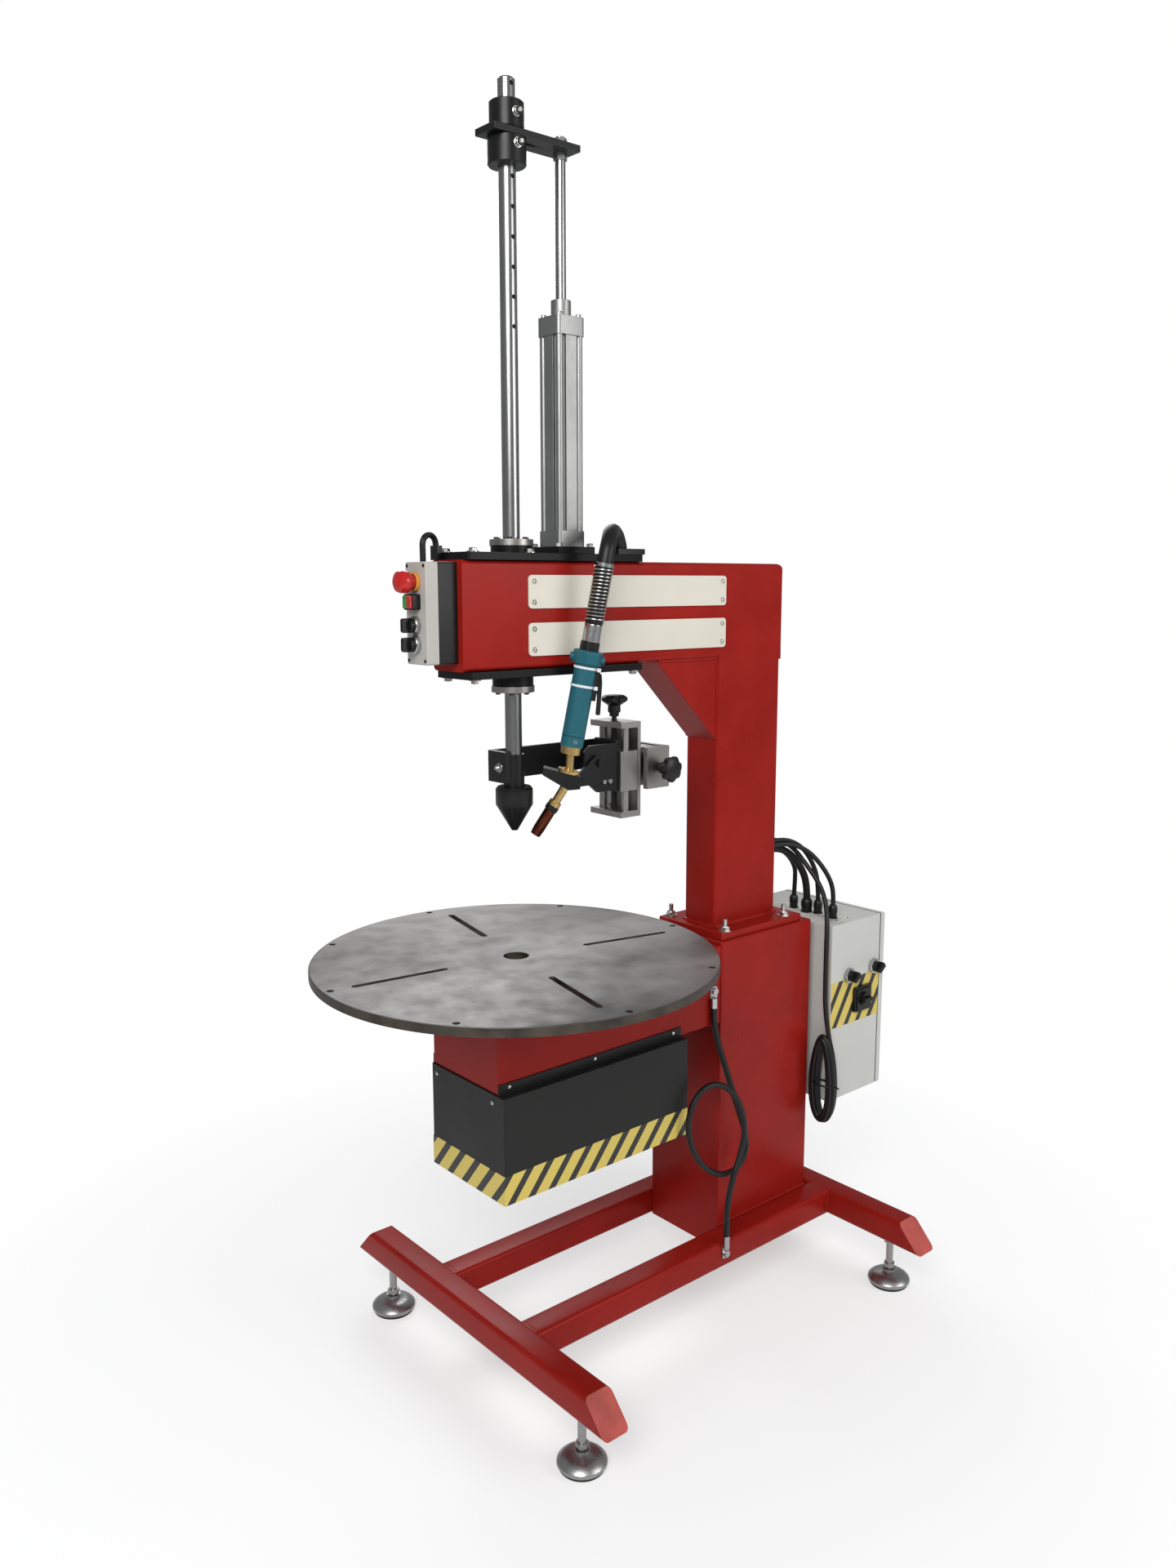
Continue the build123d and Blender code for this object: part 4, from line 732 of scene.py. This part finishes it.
def plate_bolts(form):
    """Hexagon heads on the arm's two plates and on the cylinder's seat."""
    for x in (-43, 43):
        for y in (-118, 268):
            hex_bolt(form, placed(x, y, plate_top, roll=chance.random()), 8, 6, 11)
            hex_bolt(form, placed(x, y, plate_bottom, (0, 0, -1), chance.random()), 8, 6, 11)
        for y in (84, 160):
            hex_bolt(form, placed(x * 0.88, y, plate_top + 13, roll=chance.random()), 7, 5)
        hex_bolt(form, placed(x, 10, plate_top, roll=chance.random()), 8, 6, 11)


def bush_screws(form):
    """Cap screws in the discs of both bushes."""
    for turn in range(6):
        angle = math.pi / 3 * turn + 0.3
        x = 31 * math.cos(angle)
        y = 31 * math.sin(angle)
        cap_screw(form, placed(x, y, 1673), 4.5, 4)
        cap_screw(form, placed(x, y, 1389, (0, 0, -1)), 4.5, 4)


def cylinder_screws(form):
    """Cap screws in the cylinder's two caps."""
    for x in (-23, 23):
        for y in (99, 145):
            cap_screw(form, placed(x, y, 2082), 5.5, 6)
            cap_screw(form, placed(x, y, 1691), 4, 3)


def column_bolts(form):
    """The studs and nuts that hold the column's foot."""
    for x in (-84, 84):
        for y in (506, 699):
            hex_bolt(form, placed(x, y, foot_top, roll=chance.random()), 10.5, 9, 14, 16)


def cover_screws(form):
    """Domed screws in the front and the sides of the drive's cover."""
    front = cover_low.y * 1000 - spindle_y * 1000
    for x in (-92, 94):
        pan_screw(form, placed(x, front, 631, (0, -1, 0)), 4.5)
    for y in (-102, 110, 326):
        for side in (-1, 1):
            pan_screw(form, placed(side * 110, y, 659, (side, 0, 0)), 4.5)


def nameplate_screws(form):
    for y in (13, 517):
        for z in (1469.5, 1508, 1557.5, 1596):
            pan_screw(form, placed(51, y, z, (1, 0, 0)), 5)


def box_screws(form):
    for x in (-26.5, 26.5):
        for z in (1456, 1623):
            pan_screw(form, placed(x, box_front, z, (0, -1, 0)), 3.2)


def box_lip(form):
    """The seal between the box's cover and its base."""
    outline = rounded_outline(66.6, 181.6, 4.3)
    seat = Matrix.Translation(at(0, -186, 1539.5)) @ Matrix.Rotation(math.pi / 2, 4, "X") @ millimetres
    polygon_prism(form, outline, -0.9, 0.9, seat)


def selector_rings(form):
    """Bright rings round the turning knobs."""
    for z in (1519, 1485):
        lathe(form, ring(16, 13.3, 0, 10, 1.2), placed(0, box_front, z, (0, -1, 0)), 40)
    for y, z in ((860, 683), (953, 688)):
        lathe(form, ring(17.5, 13.3, 0, 10, 1.5), placed(150, y, z, (1, 0, 0)), 40)


def estop_collar(form):
    """The coloured collar behind the emergency stop's head."""
    lathe(form, ring(17, 13.7, -0.2, 7, 0.8), placed(0, box_front, 1595, (0, -1, 0)), 40)


def cable_plate(form):
    """The raised plate that carries the cabinet's glands."""
    block(form, (-42, 132), (833, 883), (811.5, 814))


def cable_plate_screws(form):
    for x in (-36, 126):
        for y in (839, 877):
            pan_screw(form, placed(x, y, 814), 3.5)


def cabinet_band(form):
    """The hazard field behind the cabinet's knobs."""
    block(form, (149.7, 150.5), (798, 976), (564, 674))


def cover_bands(form):
    """The hazard stripes along the lower edge of the drive's cover."""
    low = cover_low * 1000
    front = low.y - spindle_y * 1000
    block(form, (129.6, 130.5), (front - 0.5, 349.8), (436.2, 495))
    block(form, (-110.3, 129.6), (front - 0.5, front + 0.4), (436.2, 495))
    block(form, (-110.5, -109.7), (front - 0.5, 349.8), (436.2, 495))


def door_seal(form):
    """The dark seal that shows between the cabinet and its door."""
    block(form, (148, 150.4), (975.6, 978.1), (389, 811))
    block(form, (-148, 150), (975.6, 978.1), (810, 812.3))


def switch_cover(form):
    """The raised square front of the main switch's plate."""
    block(form, (157.5, 161), (884, 934), (592, 643))


def hank_tie(form):
    """The tie round the hank, with its loose end."""
    angles = [2 * math.pi * step / 24 for step in range(25)]
    points = [at(149 + 31 * math.cos(angle), 778 + 15.5 * math.sin(angle), 438) for angle in angles]
    tube(form, points, [0.0022] * len(points), 6)
    tube(form, [at(178, 776, 438), at(190, 775, 441), at(199, 774, 440)], [0.0018] * 3, 6)


cover_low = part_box("drive_cover")[0]
box_stripes = striped("cover_stripes", BLACK, YELLOW, (0.75, 0.75, -0.60), 0.037)
band_stripes = striped("cabinet_stripes", BLACK, YELLOW, (0.0, 0.86, -0.51), 0.037)

made("arm_seam", arm_seam, "red_paint", "frame")
made("frame_welds", frame_welds, "red_paint", "frame")
made("foot_threads", foot_threads, "zinc", "frame")
made("plate_bolts", plate_bolts, "zinc", "frame")
made("bush_screws", bush_screws, "black_oxide", "frame")
made("cylinder_screws", cylinder_screws, "zinc", "frame")
made("column_bolts", column_bolts, "zinc", "frame")
made("cover_screws", cover_screws, "zinc", "frame")
made("nameplate_screws", nameplate_screws, "zinc", "frame")
made("box_screws", box_screws, "black_oxide", "frame")
made("box_lip", box_lip, "rubber", "frame")
made("selector_rings", selector_rings, "nickel", "frame")
made("estop_collar", estop_collar, "orange_plastic", "frame")
made("cable_plate", cable_plate, "light_grey", "frame", 0.0006)
made("cable_plate_screws", cable_plate_screws, "zinc", "frame")
made("cabinet_band", cabinet_band, band_stripes, "frame")
made("cover_bands", cover_bands, box_stripes, "frame")
made("switch_cover", switch_cover, "black_plastic", "frame", 0.001)
made("door_seal", door_seal, "rubber", "frame")
made("hank_tie", hank_tie, "black_plastic", "frame")


# Small pieces on the quill and the slides

def collar_bolts(form):
    """The bolts that clamp the cross head to the shaft, with their nuts towards the plates' side."""
    for x, z in ((31, 2407), (34.5, 2355)):
        hex_bolt(form, placed(x, -2, z, (1, 0, 0), 0.4), 8, 6, 9, 6)


def arm_bolt(form):
    """The bolt that holds the torch's arm to the quill."""
    hex_bolt(form, placed(-8, arm_low.y * 1000 - spindle_y * 1000, 1244.5, (0, -1, 0), 0.5), 7.5, 5, 9.5, 4)


def carriage_screws(form):
    """Cap screws on the bracket beside the clamp's ear."""
    for y in (169, 184):
        cap_screw(form, placed(68, y, 1206, (1, 0, 0)), 4.6, 4.6)


arm_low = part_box("torch_arm")[0]
made("collar_bolts", collar_bolts, "zinc", "quill")
made("arm_bolt", arm_bolt, "zinc", "quill")
made("bracket_screws", carriage_screws, "zinc", "lift_slide")


# Small pieces on the torch

def guard_spring(form):
    """The wire spring round the hose, between its two end sleeves."""
    local = on_handle()
    turns = 15.5
    steps = 22
    count = int(turns * steps)
    points = []
    for step in range(count + 1):
        angle = 2 * math.pi * step / steps
        rise = 251 + 103 * step / count
        points.append(local @ Vector((17.4 * math.cos(angle), 17.4 * math.sin(angle), rise)))
    tube(form, points, [0.00135] * len(points), 8)


def guard_sleeves(form):
    """The ribbed sleeve under the spring and the band at its top."""
    local = on_handle()
    ribs = [(16.9 + 0.35 * (step % 2), 213.5 + 32 * step / 24) for step in range(25)]
    lathe(form, [(14, 213)] + ribs + [(14, 246), (14, 213)], local, 40)
    lathe(form, ring(17.9, 15.7, 354, 361.5, 0.6), local, 40)


def grip_ties(form):
    """Two ties round the grip that hold the switch's lead."""
    local = on_handle()
    for height in (161, 126):
        polygon_prism(form, rounded_outline(46.6, 46.6, 18.3), height, height + 4.6, local)
        block(form, (22, 29), (-21, -13), (height - 1, height + 6), local)


def grip_lines(form):
    """The joint above the grip's foot."""
    polygon_prism(form, rounded_outline(44.5, 44.5, 17.2), 31, 32.2, on_handle())


def grip_screw(form):
    """The small eye in the grip's foot."""
    local = on_handle() @ Matrix.Translation((6, -21.9, 22)) @ Matrix.Rotation(math.pi / 2, 4, "X")
    lathe(form, ring(3.6, 2.0, 0, 0.7, 0.2), local, 24)


def head_lugs(form):
    """The two eyes on the grip's head."""
    for side in (-1, 1):
        local = (on_handle() @ Matrix.Translation((side * 27.5, 0, 181))
                 @ Matrix.Rotation(side * math.pi / 2, 4, "Y"))
        lathe(form, [(0, -2), (7.5, -2), (7.5, 5), (6.5, 6), (3.6, 6), (3.6, 2), (0, 2)], local, 24)


nozzle_wall = 13


def insulator(form):
    """The dark ring above the nozzle."""
    lathe(form, ring(nozzle_wall, 10.5, 56.5, 67, 0.6), on_nozzle(), 32)


made("guard_spring", guard_spring, "zinc", "torch")
made("guard_sleeves", guard_sleeves, "nickel", "torch")
made("grip_ties", grip_ties, "tie_white", "torch", 0.0004)
made("grip_lines", grip_lines, "black_plastic", "torch")
made("grip_screw", grip_screw, "zinc", "torch")
made("head_lugs", head_lugs, "teal_plastic", "torch")
made("nozzle_insulator", insulator, "black_plastic", "torch")


# Camera, light and floor

def camera():
    """The camera at the photograph's viewing angle, solved from its points."""
    yaw, pitch, roll = 0.867, -0.161, -0.002
    focal_pixels = 1504.077
    picture_height = 1920
    data = bpy.data.cameras.new("camera")
    data.sensor_fit = "VERTICAL"
    data.sensor_height = 36
    data.lens = focal_pixels / picture_height * data.sensor_height
    data.clip_end = 100
    eye = bpy.data.objects.new("camera", data)
    turn = (Matrix.Rotation(yaw, 4, "Z") @ Matrix.Rotation(math.pi / 2 + pitch, 4, "X")
            @ Matrix.Rotation(roll, 4, "Z"))
    eye.matrix_world = Matrix.Translation(at(1870.782, -1401.586, 1589.791)) @ turn
    bpy.context.collection.objects.link(eye)
    bpy.context.scene.camera = eye


def lamp(name, place, target, size, power):
    """A soft round lamp that points at a target."""
    data = bpy.data.lights.new(name, "AREA")
    data.shape = "DISK"
    data.size = size
    data.energy = power
    light = bpy.data.objects.new(name, data)
    direction = Vector(target) - Vector(place)
    light.matrix_world = Matrix.Translation(place) @ direction.to_track_quat("-Z", "Y").to_matrix().to_4x4()
    bpy.context.collection.objects.link(light)


def world():
    """Even light for the object, and white where the camera or a transmission ray looks past it."""
    scene_world = bpy.data.worlds.new("studio")
    bpy.context.scene.world = scene_world
    scene_world.use_nodes = True
    nodes = scene_world.node_tree.nodes
    links = scene_world.node_tree.links
    nodes.clear()
    output = nodes.new("ShaderNodeOutputWorld")
    path = nodes.new("ShaderNodeLightPath")
    seen = nodes.new("ShaderNodeMath")
    seen.operation = "MAXIMUM"
    seen.use_clamp = True
    links.new(path.outputs["Is Camera Ray"], seen.inputs[0])
    links.new(path.outputs["Is Transmission Ray"], seen.inputs[1])
    light = nodes.new("ShaderNodeBackground")
    light.inputs["Color"].default_value = (0.95, 0.97, 1.0, 1)
    light.inputs["Strength"].default_value = 0.32
    white = nodes.new("ShaderNodeBackground")
    white.inputs["Color"].default_value = (1, 1, 1, 1)
    white.inputs["Strength"].default_value = 1.0
    mix = nodes.new("ShaderNodeMixShader")
    links.new(seen.outputs["Value"], mix.inputs["Fac"])
    links.new(light.outputs["Background"], mix.inputs[1])
    links.new(white.outputs["Background"], mix.inputs[2])
    links.new(mix.outputs["Shader"], output.inputs["Surface"])


def floor():
    """A pale floor that fades to white away from the object."""
    form = bmesh.new()
    lathe(form, [(0, 0), (1, 0), (2, 0), (4, 0), (40, 0)], Matrix.Translation((0, 0, -0.0002)), 64)
    mesh = bpy.data.meshes.new("floor")
    form.to_mesh(mesh)
    form.free()
    material, nodes, links, shader = new_material("floor", (0.95, 0.95, 0.95), 0.9, specular=0.1)
    output = nodes["Material Output"]
    glow = nodes.new("ShaderNodeEmission")
    glow.inputs["Color"].default_value = (1, 1, 1, 1)
    coordinates = nodes.new("ShaderNodeTexCoord")
    distance = nodes.new("ShaderNodeVectorMath")
    distance.operation = "LENGTH"
    links.new(coordinates.outputs["Object"], distance.inputs[0])
    fade = nodes.new("ShaderNodeMapRange")
    fade.interpolation_type = "SMOOTHSTEP"
    fade.inputs["From Min"].default_value = 0.2
    fade.inputs["From Max"].default_value = 1.9
    fade.inputs["To Min"].default_value = 0.45
    links.new(distance.outputs["Value"], fade.inputs["Value"])
    path = nodes.new("ShaderNodeLightPath")
    only = nodes.new("ShaderNodeMath")
    only.operation = "MULTIPLY"
    links.new(fade.outputs["Result"], only.inputs[0])
    links.new(path.outputs["Is Camera Ray"], only.inputs[1])
    mix = nodes.new("ShaderNodeMixShader")
    links.new(only.outputs["Value"], mix.inputs["Fac"])
    links.new(shader.outputs["BSDF"], mix.inputs[1])
    links.new(glow.outputs["Emission"], mix.inputs[2])
    links.new(mix.outputs["Shader"], output.inputs["Surface"])
    mesh.materials.append(material)
    ground = bpy.data.objects.new("floor", mesh)
    bpy.context.collection.objects.link(ground)


camera()
world()
floor()
lamp("key", (2.6, -3.2, 3.6), (0, 0, 1.1), 2.6, 170)
lamp("fill", (3.6, 1.6, 2.4), (0, 0, 1.0), 2.4, 60)
lamp("back", (-2.8, 1.5, 3.4), (0, 0, 1.3), 2.2, 60)
bpy.context.scene.view_settings.view_transform = "Standard"
